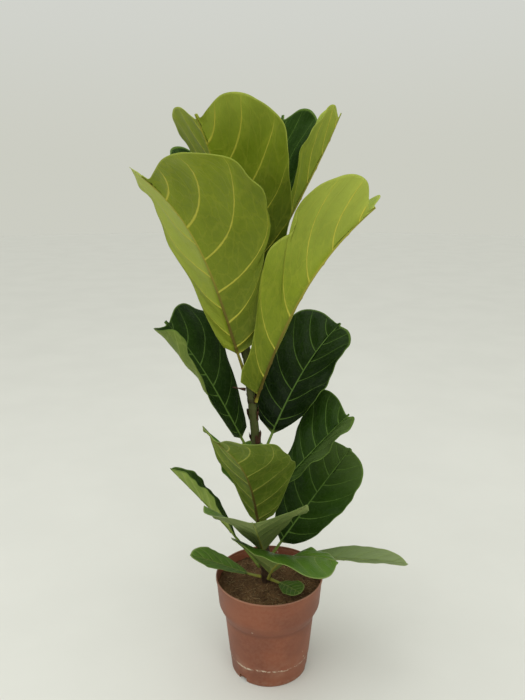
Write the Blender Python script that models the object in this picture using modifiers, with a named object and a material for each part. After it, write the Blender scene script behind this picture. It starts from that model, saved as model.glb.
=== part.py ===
"""Potted fiddle leaf fig: a plastic nursery pot filled with potting soil, one stem, and its leaves.

Metres, +Z up. The origin is the middle of the pot's underside, which stands on the floor, and -Y is
the front. Pot and soil are turned from a profile, the stem is a tapering round bar, and every leaf is one
closed loft that runs from a round leaf stalk into a thin folded blade with a raised midrib.
"""

import math
from dataclasses import dataclass

import bmesh
import bpy
import numpy as np
from mathutils import Vector

NAME = "potted_fiddle_leaf_fig"

GAP = 0.0003              # clearance left between pieces that touch
SHARP_ANGLE = 40.0        # edges bent more than this stay crisp
MERGE_DISTANCE = 0.00005  # closes a turned shape on its axis and at its seam

# Colours
POT_COLOUR = (0.20, 0.08, 0.04, 1.0)
SOIL_COLOUR = (0.035, 0.02, 0.012, 1.0)
STEM_COLOUR = (0.07, 0.06, 0.025, 1.0)
BUD_COLOUR = (0.12, 0.10, 0.03, 1.0)
SCALE_COLOUR = (0.05, 0.03, 0.015, 1.0)
YOUNG = (0.16, 0.22, 0.03, 1.0)   # leaves
DARK = (0.02, 0.06, 0.02, 1.0)
LOW = (0.09, 0.14, 0.05, 1.0)
SOIL_ROUGHNESS = 0.95
LEAF_ROUGHNESS = 0.35

# Pot
POT_HEIGHT = 0.163
RIM_RADIUS = 0.0855
COLLAR_RADIUS = 0.0812    # just above the shoulder
BODY_RADIUS = 0.0718      # just below the shoulder
RIDGE_RADIUS = 0.0652
BASE_RADIUS = 0.0615
COLLAR_HEIGHT = 0.043     # from the rim down to the shoulder
SHOULDER_HEIGHT = 0.022
SHOULDER_TOP = POT_HEIGHT - COLLAR_HEIGHT
SHOULDER_BOTTOM = SHOULDER_TOP - SHOULDER_HEIGHT
RIM_ROUNDING = 0.0008
RIDGE_STEP = 0.0008
RIDGE_HEIGHT = 0.030
WALL = 0.0016
FLOOR = 0.0030
ROUND_STEPS = 48
DRAIN_RADIUS = 0.005
DRAIN_RING = 0.036
DRAIN_COUNT = 6
DRAIN_PHASE = 0.47
DRAIN_SIDES = 12
NOTCH_WIDTH = 0.0155
NOTCH_HEIGHT = 0.0085
NOTCH_DEPTH = 0.010
NOTCH_ANGLES = (227.0, 347.0, 107.0)

# Soil
SOIL_BELOW_RIM = 0.015
SOIL_CROWN = 0.003        # how much higher the soil is in the middle
SOIL_EDGE = POT_HEIGHT - SOIL_BELOW_RIM
SOIL_MIDDLE = SOIL_EDGE + SOIL_CROWN
SOIL_FOOT_INSET = 0.0025  # from the notches in to the soil's foot
SOIL_FOOT_RADIUS = BASE_RADIUS - NOTCH_DEPTH / 2.0 - SOIL_FOOT_INSET
SOIL_STEP_RISE = 0.0007   # the soil's outer edge stays above the notches
SOIL_STEP = NOTCH_HEIGHT + SOIL_STEP_RISE
SOIL_GAP = 0.0004
SOIL_LUMP = 0.0012
SOIL_RINGS = (0.24, 0.44, 0.64, 0.84)   # shares of the soil's radius
STEM_HOLE_DEPTH = 0.080   # reaches from the stem's foot past the top of the soil
STEM_GAP = 0.0004
STEM_HOLE_SIDES = 24

# Stem: centre line as (across, back, height above the soil's edge), then its radius at foot and tip
STEM_LINE = ((-0.004, 0.0, -0.030), (-0.004, 0.0, 0.008), (-0.006, 0.0, 0.037), (-0.011, 0.0, 0.102),
             (-0.016, 0.0, 0.182), (-0.022, 0.0, 0.262), (-0.031, 0.0, 0.352), (-0.038, 0.0, 0.422),
             (-0.041, 0.0, 0.472))
STEM_BASE_RADIUS = 0.0085
STEM_TIP_RADIUS = 0.0055
BUD_LENGTH = 0.045
BUD_RADIUS = 0.0045
BUD_GAP = 0.0006
BUD_LEAN = (-0.06, 0.0, 1.0)
SPIKE_SIDES = 12
BLUNT = 0.12              # share of a bud's radius left at its point
SCALE_RADIUS = 0.0024
SCALE_GAP = 0.0012
DRY_SCALES = (("dry_scale_left", 0.324, -1, 0.020), ("dry_scale_right", 0.330, 1, 0.012))

# Leaves
BLADE_THICKNESS = 0.0015
MARGIN_THICKNESS = 0.0010
STALK_RADIUS = 0.0026
RIB_HALF_WIDTH = 0.0025
RIB_SHARE = 0.25          # of the half blade, where it is narrower than the rib
RIB_HEIGHT = 0.0022
RIB_TIP_SHARE = 0.2       # of the rib's height left at the tip
RIB_FADE = 0.012          # the rib sinks where half the blade is narrower than this
FLAT_CURL = 0.001         # a curl smaller than this is taken as this, in radians
RIGHT_PHASE = 0.37        # of a wave between the two halves of a blade
FEELER = 0.0008           # distance over which the blade's slope is measured
STALK_RINGS = 3
STALK_SHARE = 0.85        # of the stalk is round; the rest widens into the blade
STALK_TAPER = 0.12        # of the radius lost from one ring to the next
STALK_EDGE = 12           # degrees between a blade's margin and its first corner on a stalk ring
MIDRIB_STEPS = 161
MIDRIB_SPARE = 1.12       # how far past the tip the midrib's line runs, as a share of the length
TIP_WIDTH = 0.030         # share of the half width left at the blade's tip
TIP_HEIGHT = 1.01         # share of the length that the tip reaches
CREST_START = 0.40        # share of the midrib past which the lobes beside the tip rise
CREST_FADE = 0.15
VEIN_SLANT = 0.55         # how straight the side veins run; the rest bows them towards the tip
EDGE_STEPS = 200
LARGE_ROWS = 14
SMALL_ROWS = 11
LARGE_COLUMNS = (-1, -0.7, -0.38, -0.06, 0, 0.06, 0.38, 0.7, 1)
SMALL_COLUMNS = (-1, -0.52, -0.08, 0, 0.08, 0.52, 1)

# Outline of half a blade, from base to tip. Each row is (share of the half width, share of the length,
# share of the midrib where the side vein that ends there starts).
FIDDLE_OUTLINE = (
    (0.00, 0.00, 0.000), (0.11, 0.00, 0.003), (0.21, 0.03, 0.012), (0.29, 0.11, 0.04), (0.38, 0.24, 0.12),
    (0.50, 0.40, 0.23), (0.68, 0.56, 0.35), (0.87, 0.70, 0.47), (0.99, 0.82, 0.58), (0.97, 0.93, 0.68),
    (0.78, 1.01, 0.78), (0.48, 1.03, 0.87), (0.20, 1.00, 0.94), (0.05, 0.985, 0.98), (0.00, 1.02, 1.02))
OVAL_OUTLINE = (
    (0.00, 0.00, 0.000), (0.14, 0.01, 0.003), (0.30, 0.05, 0.012), (0.46, 0.13, 0.04), (0.62, 0.24, 0.12),
    (0.79, 0.37, 0.23), (0.92, 0.50, 0.35), (0.99, 0.61, 0.47), (0.98, 0.72, 0.58), (0.88, 0.82, 0.68),
    (0.71, 0.90, 0.78), (0.48, 0.96, 0.87), (0.24, 0.99, 0.94), (0.08, 1.00, 0.98), (0.00, 1.02, 1.02))


@dataclass(frozen=True)
class Leaf:
    """One leaf: where it leaves the stem, how its midrib runs and how its halves fold, in degrees."""

    name: str
    node: float                 # height on the stem above the soil's edge
    azimuth: float              # direction it leaves the stem in, 0 = +X, 90 = +Y
    length: float
    left: float                 # widest half width on the left side
    right: float
    stalk: float = 0.03
    rise: tuple = (60, 60, 60)  # slope of the midrib at stem, middle and tip
    turn: tuple = (0, 0)        # change of direction by the middle and by the tip
    roll: tuple = (0, 0)        # at base and tip; positive lifts the left side
    fold_left: tuple = (30, 15)   # how far each half is folded up from flat, at base and tip
    fold_right: tuple = (30, 15)
    curl_left: tuple = (0, 0)     # how much further it turns up by its margin
    curl_right: tuple = (0, 0)
    oval: float = 0.0           # 0 = fiddle outline, 1 = oval outline
    edge_left: tuple = ()       # rows of (share of the length, how much wider than the outline)
    edge_right: tuple = ()
    crest: tuple = (0, 0)       # how far the lobes beside the tip reach past it, left and right
    wave: float = 0.006
    waves: float = 2.5
    large: bool = True
    colour: tuple = LOW


LEAVES = (
    Leaf("leaf_upper_front_left", 0.357, 221, 0.285, 0.142, 0.110, rise=(68, 66, 37), turn=(-2, -15),
         roll=(-10, -12), fold_left=(60, 30), fold_right=(-28, 0),
         edge_left=((0, 1), (0.4, 1), (0.55, 0.98), (0.68, 1.08), (0.76, 1.06), (0.85, 0.97), (1.05, 1)),
         colour=YOUNG),
    Leaf("leaf_upper_front_right", 0.307, 316, 0.328, 0.062, 0.074, stalk=0.015, rise=(66, 59, 40),
         turn=(5, 20), roll=(-30, -30), fold_left=(62, 52), fold_right=(20, 47),
         edge_right=((0, 2.1), (0.05, 2.0), (0.1, 1.7), (0.16, 1.4), (0.24, 1.25), (0.34, 1.25),
                     (0.48, 1.34), (0.6, 1.3), (0.68, 1.02), (0.75, 0.8), (0.86, 0.98), (1.03, 0.92)),
         crest=(0, 0.02), colour=YOUNG),
    Leaf("leaf_crown_front", 0.427, 244, 0.262, 0.110, 0.100, rise=(80, 74, 60), turn=(-5, -20),
         fold_left=(35, 20), fold_right=(45, 20), crest=(0.038, 0.0),
         edge_left=((0, 1.5), (0.2, 1.7), (0.4, 1.5), (0.6, 1.15), (0.8, 0.97), (0.95, 0.93), (1.1, 0.95)),
         colour=YOUNG),
    Leaf("leaf_crown_back_right", 0.449, 50, 0.250, 0.080, 0.075, rise=(68, 73, 75), fold_left=(20, 10),
         fold_right=(20, 10), colour=DARK),
    Leaf("leaf_crown_right", 0.462, 350, 0.250, 0.030, 0.034, rise=(62, 62, 66), fold_left=(40, 60),
         fold_right=(40, 45), wave=0.004, large=False, colour=YOUNG),
    Leaf("leaf_crown_back_left", 0.407, 120, 0.260, 0.065, 0.065, rise=(72, 64, 55), fold_left=(25, 10),
         fold_right=(25, 10), colour=DARK),
    Leaf("leaf_middle_left", 0.217, 165, 0.207, 0.090, 0.092, stalk=0.035, rise=(60, 59, 47), turn=(0, 12),
         roll=(-10, -10), fold_left=(-10, -20), curl_left=(170, 85), fold_right=(20, 10), colour=DARK),
    Leaf("leaf_middle_right", 0.212, 40, 0.203, 0.088, 0.043, stalk=0.045, rise=(61, 51, 37),
         roll=(25, 25), fold_left=(20, 5), fold_right=(10, 0), oval=0.5,
         edge_right=((0, 1.2), (0.1, 1.6), (0.25, 1.8), (0.42, 1.6), (0.6, 1.15), (0.75, 1.0), (1.03, 1.0)),
         edge_left=((0, 1.2), (0.2, 1.25), (0.5, 1.05), (0.75, 0.84), (1.03, 0.9)), turn=(0, -12),
         colour=DARK),
    Leaf("leaf_lower_right_small", 0.147, 8, 0.147, 0.072, 0.034, stalk=0.035, rise=(42, 47, 42),
         fold_left=(45, 38), fold_right=(-5, -15),
         edge_right=((0, 1.6), (0.3, 1.7), (0.6, 1.1), (0.8, 0.8), (1.03, 0.6)), large=False, colour=DARK),
    Leaf("leaf_centre_front", 0.087, 245, 0.195, 0.095, 0.074, rise=(75, 62, 40), turn=(0, -44),
         fold_left=(35, 20), fold_right=(15, 5),
         edge_left=((0, 1.3), (0.2, 1.35), (0.4, 1.3), (0.6, 1.12), (0.8, 0.98), (1.03, 1)),
         edge_right=((0, 1), (0.6, 0.95), (0.8, 0.92), (1.03, 0.95)), colour=LOW),
    Leaf("leaf_lower_left", 0.025, 168, 0.143, 0.034, 0.028, stalk=0.07, rise=(53, 47, 44), turn=(0, 5),
         fold_left=(40, 45), curl_left=(40, 20), fold_right=(30, 20), wave=0.003, oval=1, large=False,
         colour=DARK),
    Leaf("leaf_lower_front", 0.052, 264, 0.147, 0.082, 0.082, rise=(46, 45, 42), fold_left=(45, 20),
         fold_right=(33, 12), oval=0.55, large=False, colour=LOW),
    Leaf("leaf_low_front_right", 0.012, 286, 0.147, 0.044, 0.098, stalk=0.02, rise=(60, 34, -16),
         turn=(32, 62), fold_left=(5, -20), fold_right=(60, 5), oval=0.9, wave=0.004,
         edge_right=((0, 1.6), (0.3, 1.3), (0.6, 1), (1, 1)),
         edge_left=((0, 1), (0.5, 1), (0.8, 0.8), (1.03, 0.7)), large=False, colour=LOW),
    Leaf("leaf_low_right", 0.036, 2, 0.180, 0.032, 0.030, stalk=0.04, rise=(3, -2, -10), oval=1,
         fold_left=(18, 10), fold_right=(30, 20), wave=0.001, large=False, colour=LOW),
    Leaf("leaf_lower_right_oval", 0.044, 25, 0.182, 0.080, 0.061, rise=(49, 48, 46), roll=(20, 20),
         oval=0.9, fold_left=(10, 0), fold_right=(8, 0), wave=0.004,
         edge_right=((0, 1.4), (0.2, 1.35), (0.4, 1.15), (0.6, 1), (1, 1)), colour=DARK),
    Leaf("leaf_rim_left", 0.010, 188, 0.096, 0.028, 0.028, stalk=0.025, rise=(16, 26, 18), oval=1,
         fold_left=(15, 10), fold_right=(15, 10), wave=0.001, large=False, colour=LOW),
    Leaf("leaf_soil_small", 0.008, 318, 0.041, 0.021, 0.021, stalk=0.02, rise=(5, 2, -5), oval=1,
         fold_left=(10, 5), fold_right=(10, 5), wave=0.001, large=False, colour=LOW),
    Leaf("leaf_lower_back", 0.087, 130, 0.110, 0.050, 0.050, rise=(75, 68, 55), oval=0.4,
         fold_left=(20, 10), fold_right=(20, 10), wave=0.004, large=False, colour=LOW),
)


def clear_scene():
    """Remove whatever the new file holds."""
    for item in list(bpy.data.objects):
        bpy.data.objects.remove(item, do_unlink=True)


def make_collection(name):
    """Add a collection to the scene."""
    collection = bpy.data.collections.new(name)
    bpy.context.scene.collection.children.link(collection)
    return collection


def place_in(thing, collection):
    """Move an object into one collection."""
    for other in list(thing.users_collection):
        other.objects.unlink(thing)
    collection.objects.link(thing)


def finish(thing, colour, collection, roughness=0.5):
    """Give a piece its own material, smooth shading and its collection."""
    material = bpy.data.materials.new(thing.name)
    material.use_nodes = True
    shader = material.node_tree.nodes["Principled BSDF"]
    shader.inputs["Base Color"].default_value = colour
    shader.inputs["Roughness"].default_value = roughness
    thing.data.materials.append(material)
    if thing.type == "MESH":
        thing.data.shade_smooth()
        thing.data.set_sharp_from_angle(angle=math.radians(SHARP_ANGLE))
    place_in(thing, collection)
    return thing


def screwed(name, profile):
    """An object turned about Z from (radius, height) points that run down its outer side."""
    mesh = bpy.data.meshes.new(name)
    points = [(radius, 0.0, height) for radius, height in profile]
    mesh.from_pydata(points, [(number, number + 1) for number in range(len(points) - 1)], [])
    thing = bpy.data.objects.new(name, mesh)
    bpy.context.scene.collection.objects.link(thing)
    turn = thing.modifiers.new("turn", "SCREW")
    turn.axis = "Z"
    turn.steps = ROUND_STEPS
    turn.render_steps = ROUND_STEPS
    turn.use_merge_vertices = True
    turn.merge_threshold = MERGE_DISTANCE
    return thing


def pot_outside():
    """The pot's outer wall from rim to base, as (radius, height)."""
    return [
        (RIM_RADIUS - RIM_ROUNDING, POT_HEIGHT),
        (RIM_RADIUS, POT_HEIGHT - RIM_ROUNDING),
        (COLLAR_RADIUS, SHOULDER_TOP),
        ((BODY_RADIUS + COLLAR_RADIUS) / 2.0, (SHOULDER_TOP + SHOULDER_BOTTOM) / 2.0),
        (BODY_RADIUS, SHOULDER_BOTTOM),
        (RIDGE_RADIUS, RIDGE_HEIGHT),
        (RIDGE_RADIUS - RIDGE_STEP, RIDGE_HEIGHT - 2.0 * RIDGE_STEP),
        (BASE_RADIUS, 0.0),
    ]


def inside_radius(height):
    """Radius of the pot's inner wall at a height."""
    wall = pot_outside()[::-1]
    return float(np.interp(height, [point[1] for point in wall], [point[0] for point in wall])) - WALL


def cut(target, tool, guides):
    """Cut a tool from a target and keep the tool as a hidden guide."""
    place_in(tool, guides)
    tool.hide_render = True
    tool.display_type = "WIRE"
    step = target.modifiers.new("cut " + tool.name, "BOOLEAN")
    step.operation = "DIFFERENCE"
    step.solver = "EXACT"
    step.object = tool


def drum(name, radius, depth, place, steps):
    """A round bar along Z for cutting."""
    bpy.ops.mesh.primitive_cylinder_add(vertices=steps, radius=radius, depth=depth, location=place)
    tool = bpy.context.object
    tool.name = name
    return tool


def make_pot(parts, guides):
    """The pot: a thin turned shell with drain holes in its floor and notches in its foot."""
    outside = pot_outside()
    inside = [(inside_radius(FLOOR), FLOOR)]
    inside += [(radius - WALL, height) for radius, height in outside[-3:1:-1]]
    inside.append((RIM_RADIUS - WALL, POT_HEIGHT))
    pot = screwed("pot", [(0.0, FLOOR)] + inside + outside + [(0.0, 0.0)])
    for number in range(DRAIN_COUNT):
        angle = 2.0 * math.pi * (number + DRAIN_PHASE) / DRAIN_COUNT
        place = (DRAIN_RING * math.cos(angle), DRAIN_RING * math.sin(angle), 0.0)
        cut(pot, drum(f"drain_tool_{number}", DRAIN_RADIUS, 4.0 * FLOOR, place, DRAIN_SIDES), guides)
    for number, degrees in enumerate(NOTCH_ANGLES):
        angle = math.radians(degrees)
        place = (BASE_RADIUS * math.cos(angle), BASE_RADIUS * math.sin(angle), 0.0)
        bpy.ops.mesh.primitive_cube_add(size=1.0, rotation=(0.0, 0.0, angle), location=place)
        tool = bpy.context.object
        tool.name = f"notch_tool_{number}"
        tool.scale = (NOTCH_DEPTH, NOTCH_WIDTH, 2.0 * NOTCH_HEIGHT)
        cut(pot, tool, guides)
    finish(pot, POT_COLOUR, parts)


def lump(x, y):
    """Smooth unevenness of the soil between -1 and 1."""
    return 0.5 * math.sin(95.0 * x + 1.3) * math.cos(80.0 * y + 0.4) + 0.5 * math.sin(150.0 * y - 60.0 * x)


def make_soil(parts, guides):
    """Potting soil that fills the pot to a little below its rim, with a hole for the stem."""
    edge = inside_radius(SOIL_EDGE) - SOIL_GAP
    top = [(edge * share, SOIL_MIDDLE + (SOIL_EDGE - SOIL_MIDDLE) * share ** 2) for share in SOIL_RINGS]
    middle = (SHOULDER_TOP + SHOULDER_BOTTOM) / 2.0
    heights = [SHOULDER_TOP, middle, SHOULDER_BOTTOM, RIDGE_HEIGHT, SOIL_STEP]
    side = [(inside_radius(height) - SOIL_GAP, height) for height in heights]
    foot = [(SOIL_FOOT_RADIUS + GAP, SOIL_STEP), (SOIL_FOOT_RADIUS, FLOOR + GAP), (0.0, FLOOR + GAP)]
    turned = screwed("soil_turning", [(0.0, SOIL_MIDDLE)] + top + [(edge, SOIL_EDGE)] + side + foot)
    bpy.context.view_layer.update()
    mesh = bpy.data.meshes.new_from_object(turned.evaluated_get(bpy.context.evaluated_depsgraph_get()))
    bpy.data.objects.remove(turned, do_unlink=True)
    for vertex in mesh.vertices:
        if vertex.co.z > SOIL_EDGE and math.hypot(vertex.co.x, vertex.co.y) < edge - SOIL_LUMP:
            vertex.co.z += SOIL_LUMP * lump(vertex.co.x, vertex.co.y)
    mesh.name = "potting_soil"
    soil = bpy.data.objects.new("potting_soil", mesh)
    bottom = SOIL_EDGE + STEM_LINE[0][2] - GAP
    place = (STEM_LINE[0][0], STEM_LINE[0][1], bottom + STEM_HOLE_DEPTH / 2.0)
    tool = drum("stem_hole_tool", STEM_BASE_RADIUS + STEM_GAP, STEM_HOLE_DEPTH, place, STEM_HOLE_SIDES)
    cut(soil, tool, guides)
    finish(soil, SOIL_COLOUR, parts, roughness=SOIL_ROUGHNESS)


def stem_point(height):
    """Centre of the stem at a height above the soil's edge."""
    heights = [point[2] for point in STEM_LINE]
    return Vector((float(np.interp(height, heights, [point[0] for point in STEM_LINE])),
                   float(np.interp(height, heights, [point[1] for point in STEM_LINE])), height + SOIL_EDGE))


def stem_radius(height):
    """Radius of the stem at a height above the soil's edge."""
    ends = [STEM_LINE[0][2], STEM_LINE[-1][2]]
    return float(np.interp(height, ends, [STEM_BASE_RADIUS, STEM_TIP_RADIUS]))


def make_stem(parts):
    """The stem: one round bar that narrows upward and leans a little to the left."""
    curve = bpy.data.curves.new("stem", "CURVE")
    curve.dimensions = "3D"
    curve.bevel_depth = 1.0
    curve.bevel_resolution = 6
    curve.use_fill_caps = True
    line = curve.splines.new("POLY")
    line.points.add(len(STEM_LINE) - 1)
    for point, place in zip(line.points, STEM_LINE):
        point.co = (*stem_point(place[2]), 1.0)
        point.radius = stem_radius(place[2])
    finish(bpy.data.objects.new("stem", curve), STEM_COLOUR, parts)


def spike(name, place, direction, length, radius, colour, parts):
    """A pointed bud or dry scale: a cone whose foot is at a place and that points along a direction."""
    turn = Vector((0, 0, 1)).rotation_difference(Vector(direction))
    centre = Vector(place) + turn @ Vector((0, 0, length / 2.0))
    bpy.ops.mesh.primitive_cone_add(vertices=SPIKE_SIDES, radius1=radius, radius2=radius * BLUNT,
                                    depth=length, location=centre, rotation=turn.to_euler())
    thing = bpy.context.object
    thing.name = name
    thing.data.name = name
    finish(thing, colour, parts)


def make_bud_and_scales(parts):
    """The bud at the stem's tip and two dry scales where old leaves left the stem."""
    top = stem_point(STEM_LINE[-1][2])
    spike("terminal_bud", top + Vector((0, 0, BUD_GAP)), BUD_LEAN, BUD_LENGTH, BUD_RADIUS,
          BUD_COLOUR, parts)
    for name, height, side, length in DRY_SCALES:
        foot = stem_point(height)
        foot.x += side * (stem_radius(height) + SCALE_GAP)
        spike(name, foot, (side, -0.2, -0.25 * side), length, SCALE_RADIUS, SCALE_COLOUR, parts)


def smooth_rows(points, count):
    """Catmull-Rom curve through rows of numbers."""
    rows = np.array(points, float)
    rows = np.vstack([2 * rows[0] - rows[1], rows, 2 * rows[-1] - rows[-2]])
    spans = len(rows) - 3
    where = np.linspace(0, spans, count)
    first = np.minimum(where.astype(int), spans - 1)
    t = (where - first)[:, None]
    a, b, c, d = rows[first], rows[first + 1], rows[first + 2], rows[first + 3]
    bow = (2 * a - 5 * b + 4 * c - d) * t ** 2 + (3 * b - a - 3 * c + d) * t ** 3
    return 0.5 * (2 * b + (c - a) * t + bow)


def through(values, t):
    """Quadratic through three values at t = 0, 0.5 and 1, held beyond 1."""
    a, b, c = values
    t = np.minimum(t, 1.0)
    return a + (4 * b - 3 * a - c) * t + (2 * a - 4 * b + 2 * c) * t ** 2


class Midrib:
    """The line a leaf follows, with the directions along it, to its left and up from its upper side."""

    def __init__(self, leaf):
        self.leaf = leaf
        self.along = np.linspace(0, leaf.stalk + MIDRIB_SPARE * leaf.length, MIDRIB_STEPS)
        t = self.along / (leaf.stalk + leaf.length)
        rise = np.radians(through(leaf.rise, t))
        heading = np.radians(leaf.azimuth + through((0, *leaf.turn), t))
        flat = np.cos(rise)
        self.forward = np.stack([flat * np.cos(heading), flat * np.sin(heading), np.sin(rise)], 1)
        left = np.stack([-np.sin(heading), np.cos(heading), 0 * heading], 1)
        up = np.cross(self.forward, left)
        share = np.clip((self.along - leaf.stalk) / leaf.length, 0, 1)
        roll = np.radians(leaf.roll[0] + (leaf.roll[1] - leaf.roll[0]) * share)[:, None]
        self.left = left * np.cos(roll) + up * np.sin(roll)
        self.up = up * np.cos(roll) - left * np.sin(roll)
        steps = (self.forward[1:] + self.forward[:-1]) / 2 * (self.along[1] - self.along[0])
        self.points = self.start() + np.vstack([np.zeros(3), np.cumsum(steps, 0)])

    def start(self):
        """Where the stalk begins, clear of the stem."""
        reach = stem_radius(self.leaf.node) + GAP + STALK_RADIUS * math.sin(math.radians(self.leaf.rise[0]))
        angle = math.radians(self.leaf.azimuth)
        centre = stem_point(self.leaf.node)
        return np.array([centre.x + reach * math.cos(angle), centre.y + reach * math.sin(angle), centre.z])

    def frame(self, distance):
        """Point, left and up directions at distances from the stem."""
        distance = np.clip(distance, 0, self.along[-1])

        def read(table):
            return np.stack([np.interp(distance, self.along, table[:, axis]) for axis in range(3)], -1)

        left = read(self.left)
        up = read(self.up)
        left /= np.linalg.norm(left, axis=-1, keepdims=True)
        up /= np.linalg.norm(up, axis=-1, keepdims=True)
        return read(self.points), left, up


def bend(midrib, x, y):
    """Carry flat leaf coordinates, x to the left and y along the blade, onto the folded leaf."""
    leaf = midrib.leaf
    point, left, up = midrib.frame(y + leaf.stalk)
    t = np.clip(y / leaf.length, 0, 1)
    on_left = x >= 0

    def between(left_pair, right_pair):
        return np.where(on_left, left_pair[0] + (left_pair[1] - left_pair[0]) * t,
                        right_pair[0] + (right_pair[1] - right_pair[0]) * t)

    fold = np.radians(between(leaf.fold_left, leaf.fold_right))
    curl = np.radians(between(leaf.curl_left, leaf.curl_right))
    curl = np.where(np.abs(curl) < FLAT_CURL, FLAT_CURL, curl)
    half = np.where(on_left, leaf.left, leaf.right)
    end = fold + curl * np.abs(x) / half
    across = half / curl * (np.sin(end) - np.sin(fold)) * np.where(on_left, 1, -1)
    lift = -half / curl * (np.cos(end) - np.cos(fold))
    phase = leaf.waves * t + np.where(on_left, 0, RIGHT_PHASE)
    lift = lift + leaf.wave * (x / half) ** 2 * np.sin(2 * math.pi * phase)
    return point + left * across[..., None] + up * lift[..., None]


def edge_share(edge, height):
    """How much wider half a blade is than its outline at heights given as shares of the length."""
    if not edge:
        return np.ones_like(height)
    line = smooth_rows(edge, EDGE_STEPS)
    return np.interp(height, line[:, 0], line[:, 1])


def blade_grid(leaf):
    """Flat coordinates of the blade, with rows along its side veins and columns from right to left."""
    rows = LARGE_ROWS if leaf.large else SMALL_ROWS
    shares = np.array(LARGE_COLUMNS if leaf.large else SMALL_COLUMNS)
    outline = np.array(FIDDLE_OUTLINE) * (1 - leaf.oval) + np.array(OVAL_OUTLINE) * leaf.oval
    line = smooth_rows(outline, rows)[1:]
    line[-1] = (TIP_WIDTH, TIP_HEIGHT, TIP_HEIGHT)
    width, height, vein = line[:, 0:1], line[:, 1:2], line[:, 2:3]
    on_left = shares >= 0
    half = np.where(on_left, leaf.left * edge_share(leaf.edge_left, height),
                    leaf.right * edge_share(leaf.edge_right, height))
    lobes = np.sin(math.pi * np.clip(width, 0, 1)) * np.clip((vein - CREST_START) / CREST_FADE, 0, 1)
    height = height + np.where(on_left, leaf.crest[0], leaf.crest[1]) * lobes
    x = half * width * shares
    bow = VEIN_SLANT * np.abs(shares) + (1 - VEIN_SLANT) * shares ** 2
    y = leaf.length * (vein + (height - vein) * bow)
    middle = len(shares) // 2
    for column, side in ((middle - 1, -1), (middle + 1, 1)):
        x[:, column] = side * np.minimum(RIB_HALF_WIDTH, RIB_SHARE * np.abs(x[:, 0 if side < 0 else -1]))
    return x, y


def loft_object(name, rings):
    """A closed skin through rings of equally many points, with an end face on the first and last ring."""
    count = len(rings[0])
    faces = [tuple(range(count)), tuple(range((len(rings) - 1) * count, len(rings) * count))]
    for ring in range(len(rings) - 1):
        low, high = ring * count, (ring + 1) * count
        for corner in range(count):
            after = (corner + 1) % count
            if corner < count // 2:   # both sides are cut along the same diagonal, so they stay parallel
                faces.append((low + corner, low + after, high + after))
                faces.append((low + corner, high + after, high + corner))
            else:
                faces.append((low + corner, low + after, high + corner))
                faces.append((low + after, high + after, high + corner))
    mesh = bpy.data.meshes.new(name)
    mesh.from_pydata([tuple(map(float, point)) for ring in rings for point in ring], [], faces)
    shape = bmesh.new()
    shape.from_mesh(mesh)
    bmesh.ops.recalc_face_normals(shape, faces=shape.faces)
    shape.to_mesh(mesh)
    shape.free()
    return bpy.data.objects.new(name, mesh)


def make_leaf(leaf, parts):
    """One leaf: stalk rings, then blade sections, joined into one closed skin."""
    midrib = Midrib(leaf)
    x, y = blade_grid(leaf)
    sheet = bend(midrib, x, y)
    tangent_x = bend(midrib, x + FEELER, y) - bend(midrib, x - FEELER, y)
    tangent_y = bend(midrib, x, y + FEELER) - bend(midrib, x, y - FEELER)
    normal = np.cross(tangent_y, tangent_x)
    middle = x.shape[1] // 2
    normal /= np.linalg.norm(normal, axis=-1, keepdims=True)
    normal[-1] = midrib.frame(y[-1] + leaf.stalk)[2]
    thick = np.full(x.shape, BLADE_THICKNESS / 2)
    thick[:, 0] = thick[:, -1] = MARGIN_THICKNESS / 2
    thick[-1] = MARGIN_THICKNESS / 2
    under = thick.copy()
    rib = RIB_HEIGHT * np.linspace(1.0, RIB_TIP_SHARE, len(x))
    under[:, middle] += rib * np.minimum(1.0, np.abs(x[:, 0]) / RIB_FADE)
    upper = sheet + normal * thick[..., None]
    lower = sheet - normal * under[..., None]
    rings = []
    columns = x.shape[1]
    over = np.linspace(180 - STALK_EDGE, STALK_EDGE, columns)
    angles = np.radians(np.concatenate([over, -over[::-1]]))
    for number in range(STALK_RINGS):
        distance = leaf.stalk * STALK_SHARE * number / (STALK_RINGS - 1)
        point, left, up = midrib.frame(np.array(distance))
        radius = STALK_RADIUS * (1.0 - STALK_TAPER * number)
        rings.append([point + radius * (math.cos(angle) * left + math.sin(angle) * up) for angle in angles])
    for row in range(len(x)):
        rings.append(list(upper[row]) + list(lower[row][::-1]))
    finish(loft_object(leaf.name, rings), leaf.colour, parts, roughness=LEAF_ROUGHNESS)


def main():
    """Build every piece of the plant and its pot."""
    clear_scene()
    parts = make_collection(NAME)
    guides = make_collection("guides")
    make_pot(parts, guides)
    make_soil(parts, guides)
    make_stem(parts)
    make_bud_and_scales(parts)
    for leaf in LEAVES:
        make_leaf(leaf, parts)


main()
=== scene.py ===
"""Finished model of a potted fiddle leaf fig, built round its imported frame.

Metres, +Z up, and -Y is the front. The origin is the middle of the pot's underside. Each class below makes
one part of the plant: the pot, the potting soil, the stem with its bud and papery sheaths, and the leaves.
"""

import logging
import math
import random
from dataclasses import dataclass
from enum import Enum
from typing import Callable, Sequence

import bpy
import numpy as np
from mathutils import Euler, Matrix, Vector, noise


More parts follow.
